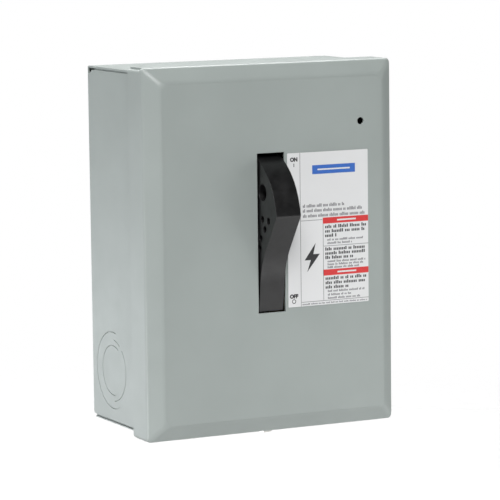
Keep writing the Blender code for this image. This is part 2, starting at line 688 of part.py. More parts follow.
def lug_screw(name, x, z):
    front = STRAP_FRONT + GAP + LUG[1]
    return slotted_screw(name, x, (z[0] + z[1]) / 2, SCREW_RADIUS, front - 0.0036, front + GAP, 0.0043,
                         "zinc_steel")


def cartridge_fuse(name, x):
    centre = (x, FUSE_DEPTH)
    bottom = FUSE_TOP - FUSE_LENGTH
    shade(rod(name + "_cap_top", centre, FUSE_RADIUS, FUSE_TOP - FERRULE, FUSE_TOP, "z", "copper", 24))
    shade(rod(name + "_cap_bottom", centre, FUSE_RADIUS, bottom, bottom + FERRULE, "z", "copper", 24))
    shade(rod(name + "_tube", centre, FUSE_RADIUS - 0.0004, bottom + FERRULE + GAP,
              FUSE_TOP - FERRULE - GAP, "z", "fuse_tube", 24))


def hinge_rivet(name, x):
    low = x - BLADE_THICKNESS / 2 - GAP - LEAF - GAP
    high = x + BLADE_THICKNESS / 2 + GAP + LEAF + GAP
    rivet = headed_pin(name, HINGE, RIVET_RADIUS, low, high, "x", RIVET_HEAD, 0.0010, "zinc_steel")
    return shade(fuse(rivet, rod("tail", HINGE, RIVET_HEAD, low - 0.0010, low + 0.0002, "x", "zinc_steel")))


def poles():
    for side, x in zip(("left", "right"), POLE_X):
        line_jaw("line_jaw_" + side, x)
        hinge_clip("hinge_clip_" + side, x)
        load_clip("load_clip_" + side, x)
        blade("blade_" + side, x)
        hinge_rivet("hinge_rivet_" + side, x)
        lug("line_lug_" + side, x, LINE_LUG_Z)
        lug("load_lug_" + side, x, LOAD_LUG_Z)
        lug_screw("line_screw_" + side, x, LINE_LUG_Z)
        lug_screw("load_screw_" + side, x, LOAD_LUG_Z)
        cartridge_fuse("fuse_" + side, x)


# Base, bars and fasteners -----------------------------------------------------------------

def switch_base():
    """A moulded tray, hollow behind, with an arc rib beside each line jaw."""
    base = block("switch_base", BASE_X, BASE_DEPTH, BASE_Z, "base_plastic")
    hollow = block("hollow", (BASE_X[0] + BASE_WALL, BASE_X[1] - BASE_WALL),
                   (0.0, BASE_DEPTH[1] - BASE_WALL * 1.5), (BASE_Z[0] + BASE_WALL, BASE_Z[1] - BASE_WALL),
                   "base_plastic")
    cut(base, hollow)
    root = BASE_DEPTH[1] - 0.001
    for x in RIB_X:
        fuse(base, block("rib", x, (root, UPPER_RIB[0]), (UPPER_RIB[1], BASE_Z[1]), "base_plastic"))
        fuse(base, block("rib", x, (root, LOWER_RIB[0]), (BASE_Z[0], LOWER_RIB[1]), "base_plastic"))
    for spot in BASE_SCREWS:
        fuse(base, rod("boss", spot, BASE_BOSS, BASE_DEPTH[0], root, "depth", "base_plastic", 16))
        cut(base, rod("screw_hole", spot, BAR_SCREW_RADIUS + GAP, 0.0, HINGE_DEPTH, "depth",
                      "base_plastic", 16))
    for z in FRAME_SCREW_Z:
        cut(base, rod("screw_hole", (FRAME_MIDDLE, z), FRAME_SCREW_RADIUS + GAP, 0.0, HINGE_DEPTH, "depth",
                      "base_plastic", 16))
    return shade(base)


def base_fasteners():
    for name, (x, z) in zip(("base_screw_top", "base_screw_bottom"), BASE_SCREWS):
        slotted_screw(name, x, z, BAR_SCREW_RADIUS, SHEET + GAP, BASE_DEPTH[1] + GAP, 2 * BAR_SCREW_RADIUS,
                      "zinc_steel")
    for name, z in zip(("frame_screw_top", "frame_screw_bottom"), FRAME_SCREW_Z):
        seat = STRAP_BACK + FRAME_SHEET + GAP
        slotted_screw(name, FRAME_MIDDLE, z, FRAME_SCREW_RADIUS, 0.0140, seat, 0.0036, "zinc_steel")


def terminal_bar(name, x, back, finish):
    """A bar with wire holes across it and a screw over each end hole."""
    z = (BAR_Z - BAR[2] / 2, BAR_Z + BAR[2] / 2)
    bar = block(name, (x - BAR[0] / 2, x + BAR[0] / 2), (back, back + BAR[1]), z, finish)
    floor = back + 0.002
    for up in (-BAR_PITCH, 0.0, BAR_PITCH):
        low, high = BAR_Z + up - BAR_HOLE / 2, BAR_Z + up + BAR_HOLE / 2
        cut(bar, block("wire_hole", (x - BAR[0], x + BAR[0]), (floor, floor + BAR_HOLE), (low, high),
                       finish))
    for up in (-BAR_PITCH, BAR_PITCH):
        cut(bar, rod("screw_bore", (x, BAR_Z + up), BAR_SCREW_RADIUS + GAP, floor + BAR_HOLE / 2,
                     back + BAR[1] + PAST, "depth", finish, 16))
    return shade(bar)


def bar_screws(name, x, back, finish):
    front = back + BAR[1]
    for word, up in (("bottom", -BAR_PITCH), ("top", BAR_PITCH)):
        slotted_screw(name + "_" + word, x, BAR_Z + up, BAR_SCREW_RADIUS, front - 0.0022, front + GAP,
                      0.0036, finish)


def neutral_and_ground():
    across, front, along = NEUTRAL_SUPPORT
    block("neutral_support", (NEUTRAL_X - across / 2, NEUTRAL_X + across / 2), (SHEET + GAP, front),
          (BAR_Z - along / 2, BAR_Z + along / 2), "insulator")
    terminal_bar("neutral_bar", NEUTRAL_X, front + GAP, "aluminium")
    bar_screws("neutral_screw", NEUTRAL_X, front + GAP, "zinc_steel")
    terminal_bar("ground_bar", GROUND_X, SHEET + GAP, "aluminium")
    bar_screws("ground_screw", GROUND_X, SHEET + GAP, "green_steel")


# Assembly ---------------------------------------------------------------------------------

def main():
    clear_scene()
    enclosure()
    knockouts()
    switch_base()
    base_fasteners()
    mechanism_frame()
    pins()
    drive_link()
    toggle_spring()
    crossbar()
    poles()
    neutral_and_ground()
    handle()
    cover()
    label()
    cover_screw()


main()
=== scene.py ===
"""The looks of a fusible AC disconnect box, built round its CAD frame.

Frame: the origin is on the enclosure's back face, midway across. +X runs to the right, +Z up, and -Y out
of the wall. "Depth" is the distance in front of the wall, so depth = -y. All sizes are in metres.
"""
import json
import math
import random

import bmesh
import bpy
from mathutils import Matrix, Vector

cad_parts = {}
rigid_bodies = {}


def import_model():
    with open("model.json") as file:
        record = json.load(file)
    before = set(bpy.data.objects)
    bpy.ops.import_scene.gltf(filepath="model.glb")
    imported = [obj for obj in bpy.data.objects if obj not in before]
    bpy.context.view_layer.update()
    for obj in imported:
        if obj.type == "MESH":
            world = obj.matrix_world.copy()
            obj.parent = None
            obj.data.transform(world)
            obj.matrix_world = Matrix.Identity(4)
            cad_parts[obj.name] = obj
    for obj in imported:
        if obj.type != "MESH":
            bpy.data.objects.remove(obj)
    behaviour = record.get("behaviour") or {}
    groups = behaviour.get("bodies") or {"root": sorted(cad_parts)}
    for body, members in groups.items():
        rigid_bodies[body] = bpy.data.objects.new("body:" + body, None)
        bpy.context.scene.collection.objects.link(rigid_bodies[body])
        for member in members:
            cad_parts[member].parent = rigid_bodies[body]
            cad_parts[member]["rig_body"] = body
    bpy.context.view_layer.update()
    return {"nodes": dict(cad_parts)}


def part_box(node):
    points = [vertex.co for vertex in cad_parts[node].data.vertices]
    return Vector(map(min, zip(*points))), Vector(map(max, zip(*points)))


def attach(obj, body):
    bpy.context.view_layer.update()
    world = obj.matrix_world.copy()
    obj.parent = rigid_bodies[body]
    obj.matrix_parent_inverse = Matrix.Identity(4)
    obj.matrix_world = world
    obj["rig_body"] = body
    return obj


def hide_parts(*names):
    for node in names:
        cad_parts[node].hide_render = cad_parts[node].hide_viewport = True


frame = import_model()

MM = 0.001
PAST = 4 * MM                # how far a cutter runs past the wall it cuts
SHEET = 1.3 * MM             # enclosure steel
COVER_SHEET = 1.2 * MM
FOLD_RADIUS = 1.9 * MM       # outer radius of the box's folds
RIM_BEND = 2.6 * MM          # outer radius of the bend between the cover's flange and bevel
FACE_BEND = 7 * MM           # and between its bevel and face
EDGE = 0.22 * MM             # softness of a painted sheet's cut edges


# Camera ---------------------------------------------------------------------------------------

CAMERA_PLACE = (-0.7428, -1.5302, 0.2025)
CAMERA_YAW = -26.680         # degrees, to the left of straight on
CAMERA_PITCH = 7.104         # degrees, downwards
CAMERA_ROLL = -0.708
CAMERA_LENS = 212.86


def make_camera():
    yaw, pitch, roll = (math.radians(a) for a in (CAMERA_YAW, CAMERA_PITCH, CAMERA_ROLL))
    right = Vector((math.cos(yaw), math.sin(yaw), 0.0))
    ahead = Vector((-math.sin(yaw) * math.cos(pitch), math.cos(yaw) * math.cos(pitch), -math.sin(pitch)))
    up = right.cross(ahead)
    turned_right = right * math.cos(roll) + up * math.sin(roll)
    turned_up = up * math.cos(roll) - right * math.sin(roll)
    data = bpy.data.cameras.new("camera")
    data.lens = CAMERA_LENS
    data.sensor_width = 36.0
    data.clip_end = 50.0
    camera = bpy.data.objects.new("camera", data)
    bpy.context.scene.collection.objects.link(camera)
    axes = Matrix((turned_right, turned_up, -ahead)).transposed()
    camera.matrix_world = Matrix.Translation(CAMERA_PLACE) @ axes.to_4x4()
    bpy.context.scene.camera = camera


# Finishes -------------------------------------------------------------------------------------

class Finish:
    """A Principled material whose colour, gloss and grain follow noise in the piece's own space."""

    def __init__(self, name, colour, roughness, metallic=0.0):
        self.material = bpy.data.materials.new(name)
        self.material.use_nodes = True
        self.nodes = self.material.node_tree.nodes
        self.links = self.material.node_tree.links
        self.shader = self.nodes["Principled BSDF"]
        self.shader.inputs["Base Color"].default_value = (*colour, 1.0)
        self.shader.inputs["Roughness"].default_value = roughness
        self.shader.inputs["Metallic"].default_value = metallic
        self.place = self.nodes.new("ShaderNodeTexCoord").outputs["Object"]
        self.height = None

    def noise(self, scale, detail=3.0, stretch=(1.0, 1.0, 1.0)):
        mapping = self.nodes.new("ShaderNodeMapping")
        mapping.inputs["Scale"].default_value = stretch
        self.links.new(self.place, mapping.inputs["Vector"])
        texture = self.nodes.new("ShaderNodeTexNoise")
        texture.inputs["Scale"].default_value = scale
        texture.inputs["Detail"].default_value = detail
        self.links.new(mapping.outputs["Vector"], texture.inputs["Vector"])
        return texture.outputs["Fac"]

    def cells(self, scale):
        texture = self.nodes.new("ShaderNodeTexVoronoi")
        texture.inputs["Scale"].default_value = scale
        self.links.new(self.place, texture.inputs["Vector"])
        return texture.outputs["Color"]

    def colour(self, factor, dark, light, low=0.35, high=0.65):
        ramp = self.nodes.new("ShaderNodeValToRGB")
        ramp.color_ramp.elements[0].position = low
        ramp.color_ramp.elements[0].color = (*dark, 1.0)
        ramp.color_ramp.elements[1].position = high
        ramp.color_ramp.elements[1].color = (*light, 1.0)
        self.links.new(factor, ramp.inputs["Fac"])
        self.links.new(ramp.outputs["Color"], self.shader.inputs["Base Color"])
        return self

    def gloss(self, factor, low, high):
        spread = self.nodes.new("ShaderNodeMapRange")
        spread.inputs["From Min"].default_value = 0.3
        spread.inputs["From Max"].default_value = 0.7
        spread.inputs["To Min"].default_value = low
        spread.inputs["To Max"].default_value = high
        self.links.new(factor, spread.inputs["Value"])
        self.links.new(spread.outputs["Result"], self.shader.inputs["Roughness"])
        return self

    def grain(self, factor, height, strength=1.0):
        """Adds a relief of that height; a second call is laid over the first."""
        bump = self.nodes.new("ShaderNodeBump")
        bump.inputs["Strength"].default_value = strength
        bump.inputs["Distance"].default_value = height
        self.links.new(factor, bump.inputs["Height"])
        if self.height:
            self.links.new(self.height, bump.inputs["Normal"])
        self.height = bump.outputs["Normal"]
        self.links.new(self.height, self.shader.inputs["Normal"])
        return self


def shades(colour, spread):
    """A colour made darker and lighter by a share."""
    return [tuple(c * (1.0 + way * spread) for c in colour) for way in (-1, 1)]


def grey_paint():
    colour = (0.340, 0.378, 0.364)
    paint = Finish("grey_paint", colour, 0.40)
    paint.colour(paint.noise(28.0, 4.0), *shades(colour, 0.025))
    paint.gloss(paint.noise(90.0), 0.35, 0.43)
    paint.grain(paint.noise(750.0, 2.0), 0.03 * MM, 0.35)
    paint.grain(paint.noise(60.0, 1.0), 0.10 * MM, 0.30)
    return paint.material


def black_plastic():
    colour = (0.006, 0.006, 0.0063)
    plastic = Finish("black_plastic", colour, 0.36)
    plastic.shader.inputs["Specular IOR Level"].default_value = 0.7
    plastic.colour(plastic.noise(160.0, 6.0), *shades(colour, 0.35))
    plastic.gloss(plastic.noise(220.0), 0.32, 0.44)
    plastic.grain(plastic.noise(2600.0, 3.0), 0.03 * MM, 0.6)
    return plastic.material


def base_plastic():
    plastic = Finish("base_plastic", (0.045, 0.026, 0.019), 0.4)
    plastic.colour(plastic.noise(70.0, 8.0), (0.034, 0.020, 0.015), (0.062, 0.036, 0.026))
    plastic.gloss(plastic.noise(300.0), 0.34, 0.50)
    plastic.grain(plastic.noise(1400.0, 4.0), 0.03 * MM, 0.6)
    return plastic.material


def zinc_steel():
    colour = (0.60, 0.60, 0.57)
    metal = Finish("zinc_steel", colour, 0.35, 1.0)
    metal.colour(metal.cells(900.0), *shades(colour, 0.10), 0.1, 0.9)
    metal.gloss(metal.noise(400.0), 0.26, 0.42)
    metal.grain(metal.noise(1800.0), 0.01 * MM, 0.5)
    return metal.material


def copper():
    metal = Finish("copper", (0.70, 0.34, 0.20), 0.3, 1.0)
    metal.colour(metal.noise(120.0, 6.0), (0.50, 0.22, 0.12), (0.78, 0.40, 0.25), 0.3, 0.6)
    metal.gloss(metal.noise(260.0, 5.0), 0.22, 0.42)
    metal.grain(metal.noise(900.0, 2.0, (6.0, 6.0, 0.4)), 0.01 * MM, 0.6)
    return metal.material


def ferrule_brass():
    metal = Finish("ferrule_brass", (0.72, 0.58, 0.32), 0.28, 1.0)
    metal.colour(metal.noise(90.0, 5.0), (0.58, 0.44, 0.22), (0.78, 0.64, 0.38), 0.3, 0.7)
    metal.gloss(metal.noise(300.0), 0.20, 0.36)
    metal.grain(metal.noise(800.0, 2.0, (0.5, 0.5, 8.0)), 0.008 * MM, 0.5)
    return metal.material


def aluminium():
    colour = (0.72, 0.73, 0.74)
    metal = Finish("aluminium", colour, 0.35, 1.0)
    metal.colour(metal.noise(500.0, 3.0, (4.0, 4.0, 0.2)), *shades(colour, 0.07))
    metal.gloss(metal.noise(500.0, 3.0, (4.0, 4.0, 0.2)), 0.26, 0.42)
    metal.grain(metal.noise(900.0, 2.0, (6.0, 6.0, 0.2)), 0.012 * MM, 0.6)
    return metal.material


def fuse_tube():
    fibre = Finish("fuse_tube", (0.42, 0.24, 0.11), 0.65)
    fibre.colour(fibre.noise(300.0, 5.0, (1.0, 1.0, 5.0)), (0.34, 0.18, 0.08), (0.48, 0.29, 0.14))
    fibre.gloss(fibre.noise(200.0), 0.55, 0.72)
    fibre.grain(fibre.noise(1500.0, 3.0, (1.0, 1.0, 4.0)), 0.02 * MM, 0.6)
    return fibre.material


def green_steel():
    colour = (0.020, 0.190, 0.055)
    metal = Finish("green_steel", colour, 0.35, 0.35)
    metal.colour(metal.noise(500.0), *shades(colour, 0.18))
    metal.gloss(metal.noise(400.0), 0.28, 0.42)
    metal.grain(metal.noise(1800.0), 0.01 * MM, 0.5)
    return metal.material


def insulator():
    colour = (0.66, 0.64, 0.56)
    nylon = Finish("insulator", colour, 0.5)
    nylon.colour(nylon.noise(80.0, 4.0), *shades(colour, 0.05))
    nylon.gloss(nylon.noise(200.0), 0.42, 0.58)
    nylon.grain(nylon.noise(1600.0, 3.0), 0.02 * MM, 0.6)
    return nylon.material


def label_white():
    colour = (0.745, 0.752, 0.756)
    film = Finish("label_white", colour, 0.38)
    film.colour(film.noise(40.0, 2.0), *shades(colour, 0.012))
    film.gloss(film.noise(150.0), 0.34, 0.42)
    film.grain(film.noise(700.0, 2.0), 0.01 * MM, 0.3)
    return film.material


def ink(name, colour):
    print_ink = Finish(name, colour, 0.4)
    print_ink.colour(print_ink.noise(2500.0, 3.0), *shades(colour, 0.08))
    print_ink.gloss(print_ink.noise(300.0), 0.34, 0.46)
    print_ink.grain(print_ink.noise(1500.0), 0.004 * MM, 0.3)
    return print_ink.material


def make_finishes():
    makers = (grey_paint, black_plastic, base_plastic, zinc_steel, copper, ferrule_brass, aluminium,
              fuse_tube, green_steel, insulator, label_white)
    made = {maker.__name__: maker() for maker in makers}
    made["ink_black"] = ink("ink_black", (0.035, 0.035, 0.037))
    made["ink_grey"] = ink("ink_grey", (0.20, 0.20, 0.21))
    made["ink_red"] = ink("ink_red", (0.66, 0.045, 0.045))
    made["ink_blue"] = ink("ink_blue", (0.045, 0.150, 0.52))
    made["ink_white"] = ink("ink_white", (0.74, 0.74, 0.74))
    return made


FINISHES = make_finishes()


# Mesh tools -----------------------------------------------------------------------------------

def at(x, depth, z):
    return Vector((x, -depth, z))


# Where an outline's point goes at a distance along an axis. An outline lies in (depth, z) across x, in
# (x, z) across depth and in (x, depth) across z.
PLACERS = {
    "x": lambda a, b, along: at(along, a, b),
    "depth": lambda a, b, along: at(a, along, b),
    "z": lambda a, b, along: at(a, b, along),
}


def add_object(name, mesh, finish=None):
    item = bpy.data.objects.new(name, mesh)
    bpy.context.scene.collection.objects.link(item)
    mesh.materials.clear()
    if finish:
        mesh.materials.append(FINISHES[finish])
    return item


def dress(mesh, finish):
    mesh.materials.clear()
    mesh.materials.append(FINISHES[finish])


def from_shape(name, shape, finish=None):
    bmesh.ops.recalc_face_normals(shape, faces=shape.faces)
    mesh = bpy.data.meshes.new(name)
    shape.to_mesh(mesh)
    shape.free()
    return add_object(name, mesh, finish)


def band(shape, near, far):
    """Faces all round between two loops of as many vertices."""
    for i in range(len(near)):
        j = (i + 1) % len(near)
        shape.faces.new((near[i], near[j], far[j], far[i]))


def prism(name, outline, low, high, axis, finish=None):
    """An outline pushed along an axis from low to high."""
    place = PLACERS[axis]
    shape = bmesh.new()
    bottom = [shape.verts.new(place(a, b, low)) for a, b in outline]
    top = [shape.verts.new(place(a, b, high)) for a, b in outline]
    shape.faces.new(bottom)
    shape.faces.new(top)
    band(shape, bottom, top)
    return from_shape(name, shape, finish)


def block(name, x, depth, z, finish=None):
    outline = [(x[0], z[0]), (x[1], z[0]), (x[1], z[1]), (x[0], z[1])]
    return prism(name, outline, depth[0], depth[1], "depth", finish)


def circle(centre, radius, sides=48, start=0.0, end=360.0):
    full = abs(end - start) >= 360.0
    steps = sides if full else sides - 1
    turns = [math.radians(start + (end - start) * i / steps) for i in range(sides)]
    return [(centre[0] + radius * math.cos(t), centre[1] + radius * math.sin(t)) for t in turns]


def rod(name, centre, radius, low, high, axis, finish=None, sides=48):
    return prism(name, circle(centre, radius, sides), low, high, axis, finish)


def blended_corner(before, corner, after, radius, steps):
    """An arc that rounds a corner between two straight stretches."""
    corner = Vector(corner)
    first = (Vector(before) - corner).normalized()
    second = (Vector(after) - corner).normalized()
    half = first.angle(second) / 2
    centre = corner + (first + second).normalized() * radius / math.sin(half)
    start = corner + first * radius / math.tan(half) - centre
    end = corner + second * radius / math.tan(half) - centre
    sweep = start.angle(end)
    points = []
    for i in range(steps + 1):
        share = i / steps
        spot = start * math.sin((1 - share) * sweep) + end * math.sin(share * sweep)
        points.append(tuple(centre + spot / math.sin(sweep)))
    return points


def folded(points, radii, steps=6):
    """A bent line: its inner corners become arcs, of one radius or of one each."""
    if not isinstance(radii, (list, tuple)):
        radii = [radii] * (len(points) - 2)
    line = [points[0]]
    for before, corner, after, radius in zip(points, points[1:], points[2:], radii):
        line += blended_corner(before, corner, after, radius, steps)
    return line + [points[-1]]


def beside(line, distance):
    """The line moved to its right-hand side by a distance."""
    spots = [Vector(p) for p in line]
    moved = []
    for i, spot in enumerate(spots):
        ways = [(b - a).normalized() for a, b in zip(spots[max(i - 1, 0):i + 1], spots[max(i, 1):i + 2])]
        if i == 0:
            ways = [(spots[1] - spots[0]).normalized()]
        normals = [Vector((w.y, -w.x)) for w in ways]
        middle = sum(normals, Vector((0.0, 0.0))).normalized()
        moved.append(tuple(spot + middle * distance / middle.dot(normals[0])))
    return moved


def evaluated_mesh(item):
    """The object's mesh with its modifiers applied, or the mesh that its curve comes out as."""
    bpy.context.view_layer.update()
    graph = bpy.context.evaluated_depsgraph_get()
    return bpy.data.meshes.new_from_object(item.evaluated_get(graph))


def mesh_of_curve(name, curve):
    item = bpy.data.objects.new(name, curve)
    bpy.context.scene.collection.objects.link(item)
    mesh = evaluated_mesh(item)
    bpy.data.objects.remove(item, do_unlink=True)
    return mesh


def weld(mesh):
    """Join the vertices that lie on each other."""
    shape = bmesh.new()
    shape.from_mesh(mesh)
    bmesh.ops.remove_doubles(shape, verts=shape.verts, dist=0.0005 * MM)
    shape.to_mesh(mesh)
    shape.free()
    return mesh


def bake(item):
    """Apply the object's modifiers."""
    mesh = evaluated_mesh(item)
    item.modifiers.clear()
    item.data = mesh
    return item


def combine(target, tool, operation):
    modifier = target.modifiers.new(operation, "BOOLEAN")
    modifier.operation = operation
    modifier.object = tool
    bake(target)
    bpy.data.objects.remove(tool, do_unlink=True)
    return target


def cut(target, *tools):
    for tool in tools:
        combine(target, tool, "DIFFERENCE")
    return target


def fuse(target, *tools):
    for tool in tools:
        combine(target, tool, "UNION")
    return target


def soften(item, width, segments=2, angle=40.0):
    """Round the sharp edges a little with a bevel modifier, and shade the mesh smooth."""
    item.data.shade_smooth()
    bevel = item.modifiers.new("soft_edges", "BEVEL")
    bevel.width = width
    bevel.segments = segments
    bevel.limit_method = "ANGLE"
    bevel.angle_limit = math.radians(angle)
    return item


def even_shading(item):
    item.data.shade_smooth()
    item.data.set_sharp_from_angle(angle=math.radians(50.0))
    normals = item.modifiers.new("even_shading", "WEIGHTED_NORMAL")
    normals.keep_sharp = True
    return item


def stands_for(item, body, slot, *nodes):
    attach(item, body)
    if nodes:
        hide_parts(*nodes)
    return item


def lathe(name, profile, centre, axis, finish, steps=48):
    """Points of (radius, distance along) turned round an axis through centre."""
    place = PLACERS[axis]
    shape = bmesh.new()
    rings = []
    for radius, along in profile:
        if radius < 1e-7:
            rings.append([shape.verts.new(place(*centre, along))])
        else:
            rings.append([shape.verts.new(place(a, b, along)) for a, b in circle(centre, radius, steps)])
    for near, far in zip(rings, rings[1:]):
        for i in range(steps):
            j = (i + 1) % steps
            corners = [near[i % len(near)], near[j % len(near)], far[j % len(far)], far[i % len(far)]]
            shape.faces.new(list(dict.fromkeys(corners)))
    return from_shape(name, shape, finish)


# Enclosure ------------------------------------------------------------------------------------

BOX_LOW, BOX_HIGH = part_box("enclosure")
BOX_DEPTH = -BOX_LOW.y
TOP_SHEET = 1.0 * MM         # the walls that lap the side walls show a thinner edge
SEAM = 1.0 * MM              # between a side wall's upper edge and the wall that laps it
FLAP = 72 * MM               # half the width of the folds at the back
FLAP_SIDE = FLAP + 0.15 * MM
FLAP_HEIGHT = 8 * MM
FLAP_START = (3.0 * MM, 2.4 * MM)            # depth at which the bottom and top walls reach full width
POST = 2.6 * MM              # depth to which the back's corners run up to the top wall
LAP_CLIP = 0.9 * MM          # off the corners where those walls reach full width
SIDE_FOOT = 2.1 * MM         # how far up the side walls' lower edges stand
SIDE_CLIP = (4.4 * MM, 2.2 * MM)             # off their rear ends: depth, height
LIP = (0.5 * MM, 0.65 * MM)  # the bottom wall's thin lip: how far in from the side's face, its thickness
LIP_REACH = 1.7 * MM
# What stands behind the bottom and top seams: from where to where, in from the side's face, and its rear end.
BACKINGS = (((1.2 * MM, 2.2 * MM), 2.4 * MM), ((0.5 * MM, 1.2 * MM), 10 * MM))
WALL_HOLES = [(x * 62 * MM, z * 84 * MM) for x in (-1, 1) for z in (-1, 1)]
WALL_HOLE_RADIUS = 3.3 * MM
KNOCKOUT_RADII = (14.1 * MM, 17.45 * MM, 22.0 * MM)
GROOVE = 0.45 * MM
GROOVE_DEPTH = 0.5 * MM


def knockout_centre(node, first, second):
    low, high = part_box(node)
    middle = (low + high) / 2
    places = {"x": middle.x, "depth": -middle.y, "z": middle.z}
    return places[first], places[second]


def lapped_wall(way):
    """The top or bottom wall with its fold and a strip of the back."""
    edge = BOX_HIGH.z if way > 0 else BOX_LOW.z
    line = folded([(BOX_DEPTH, edge), (0.0, edge), (0.0, edge - way * FLAP_HEIGHT)], FOLD_RADIUS)
    half = BOX_HIGH.x if way > 0 else BOX_HIGH.x - LIP[0]
    sheet = TOP_SHEET if way > 0 else SHEET
    start = FLAP_START[way > 0]
    outline = line + beside(line, way * -sheet)[::-1]
    wall = prism("lapped_wall", outline, -half, half, "x")
    for side in (-1, 1):
        across = sorted((side * FLAP, side * (half + PAST)))
        past_fold = (edge - FLAP_HEIGHT - PAST, edge + FLAP_HEIGHT + PAST)
        cut(wall, block("fold_end", across, (-PAST, start), past_fold))
        corner = [(side * (half + 1 * MM), start - 1 * MM), (side * (half + 1 * MM), start + LAP_CLIP),
                  (side * (half - LAP_CLIP), start - 1 * MM)]
        cut(wall, prism("clipped_corner", corner, edge - PAST, edge + PAST, "z"))
        if way < 0:
            end = sorted((side * (BOX_HIGH.x - LIP_REACH), side * (half + PAST)))
            cut(wall, block("rebate", end, (-PAST, BOX_DEPTH + PAST), (edge + LIP[1], edge + PAST)))
    return wall


def past_flap(side):
    """From beside a fold at the back to past the side's face."""
    return sorted((side * FLAP_SIDE, side * (BOX_HIGH.x + PAST)))


def lower_corner(rear, bottom, clip):
    """The outline that takes a lower rear corner off a side: clip is its depth and height."""
    depth, height = clip
    return [(rear - 1 * MM, bottom - 1 * MM), (rear + depth, bottom - 1 * MM),
            (rear - 1 * MM, bottom + height)]


def corner_relief(side, edge):
    """The tapered gap at a side wall's upper rear corner, where three folds meet."""
    outline = [(1.9 * MM, 0.4 * MM), (9.5 * MM, 0.4 * MM), (9.0 * MM, -0.1 * MM), (6.4 * MM, -0.5 * MM),
               (4.8 * MM, -2.0 * MM), (3.6 * MM, -2.5 * MM), (1.9 * MM, -2.3 * MM)]
    place = [(depth, edge + drop) for depth, drop in outline]
    return prism("corner_relief", place, *past_flap(side), "x")


def seam_backing(side, way):
    """A strip behind the seam between a side wall and the top or bottom wall, which keeps it shallow."""
    insets, start = BACKINGS[way > 0]
    edge = BOX_HIGH.z - TOP_SHEET / 2 if way > 0 else BOX_LOW.z + SHEET / 2
    across = sorted(side * (BOX_HIGH.x - inset) for inset in insets)
    return block("seam_backing", across, (start, BOX_DEPTH - EDGE), sorted((edge, edge - way * 5 * MM)))


def box_shell():
    line = folded([(BOX_LOW.x, BOX_DEPTH), (BOX_LOW.x, 0.0), (BOX_HIGH.x, 0.0), (BOX_HIGH.x, BOX_DEPTH)],
                  FOLD_RADIUS)
    outline = line + beside(line, -SHEET)[::-1]
    bottom, top = BOX_LOW.z + SIDE_FOOT, BOX_HIGH.z - TOP_SHEET - SEAM
    shell = prism("enclosure_shell", outline, bottom, BOX_HIGH.z - TOP_SHEET / 2, "z", "grey_paint")
    past_top = (top, BOX_HIGH.z + PAST)
    cut(shell, block("seams", (BOX_LOW.x - PAST, BOX_HIGH.x + PAST), (POST, BOX_DEPTH + PAST), past_top))
    cut(shell, block("fold_room", (-FLAP, FLAP), (-PAST, POST + PAST), past_top))
    for side in (-1, 1):
        cut(shell, corner_relief(side, top))
        clipped = lower_corner(0.0, bottom, SIDE_CLIP)
        cut(shell, prism("clipped_corner", clipped, *past_flap(side), "x"))
    fuse(shell, lapped_wall(1), lapped_wall(-1))
    fuse(shell, *[seam_backing(side, way) for side in (-1, 1) for way in (-1, 1)])
    for spot in WALL_HOLES:
        cut(shell, rod("wall_hole", spot, WALL_HOLE_RADIUS, -PAST, PAST, "depth"))
    for node, x in (("knockout_left", BOX_LOW.x), ("knockout_right", BOX_HIGH.x)):
        centre = knockout_centre(node, "depth", "z")
        cut(shell, rod("hole", centre, KNOCKOUT_RADII[2], x - PAST, x + PAST, "x", sides=72))
    for node in ("knockout_bottom_left", "knockout_bottom_right"):
        centre = knockout_centre(node, "x", "depth")
        cut(shell, rod("hole", centre, KNOCKOUT_RADII[2], BOX_LOW.z - PAST, BOX_LOW.z + PAST, "z", sides=72))
    for x in HOOK_X:
        half = HOOK_WIDTH / 2 + 1 * MM
        depth = (HOOK_DEPTH - 1 * MM, HOOK_DEPTH + 5 * MM)
        cut(shell, block("hook_slot", (x - half, x + half), depth, (BOX_HIGH.z - PAST, BOX_HIGH.z + PAST)))
    notch = (SCREW_DEPTH - SCREW_NOTCH, BOX_DEPTH + PAST)
    cut(shell, block("screw_notch", (-SCREW_NOTCH, SCREW_NOTCH), notch, (BOX_LOW.z - PAST, BOX_LOW.z + PAST)))
    even_shading(soften(shell, EDGE))
    return stands_for(shell, "enclosure", "grey_paint", "enclosure")


def ring_groove(centre, radius, start, end, low, high, axis):
    sides = 40
    outline = circle(centre, radius + GROOVE / 2, sides, start, end)
    outline += circle(centre, radius - GROOVE / 2, sides, end, start)
    return prism("groove", outline, low, high, axis)


def knockout(node, face, outward, axis, turn):
    """A half-sheared slug: its rings show as partial grooves, each broken by its ties."""
    first, second = ("depth", "z") if axis == "x" else ("x", "depth")
    centre = knockout_centre(node, first, second)
    low, high = sorted((face, face - outward * SHEET))
    slug = rod(node + "_slug", centre, KNOCKOUT_RADII[2] - 0.02 * MM, low, high, axis, "grey_paint", 72)
    low, high = sorted((face - outward * GROOVE_DEPTH, face + outward * PAST))
    inner, middle, outer = KNOCKOUT_RADII
    # Each groove's radius, and the turns in degrees between which it is cut.
    arcs = [(outer - GROOVE / 2, 78, 292), (middle, -84, 46), (middle, 57, 84), (inner, 60, 284)]
    for radius, start, end in arcs:
        cut(slug, ring_groove(centre, radius, turn + start, turn + end, low, high, axis))
    even_shading(soften(slug, 0.1 * MM, 1))
    return stands_for(slug, "enclosure", "grey_paint", node)


def knockouts():
    knockout("knockout_left", BOX_LOW.x, -1, "x", 0)
    knockout("knockout_right", BOX_HIGH.x, 1, "x", 0)
    knockout("knockout_bottom_left", BOX_LOW.z, -1, "z", 90)
    knockout("knockout_bottom_right", BOX_LOW.z, -1, "z", 90)


# Cover ----------------------------------------------------------------------------------------

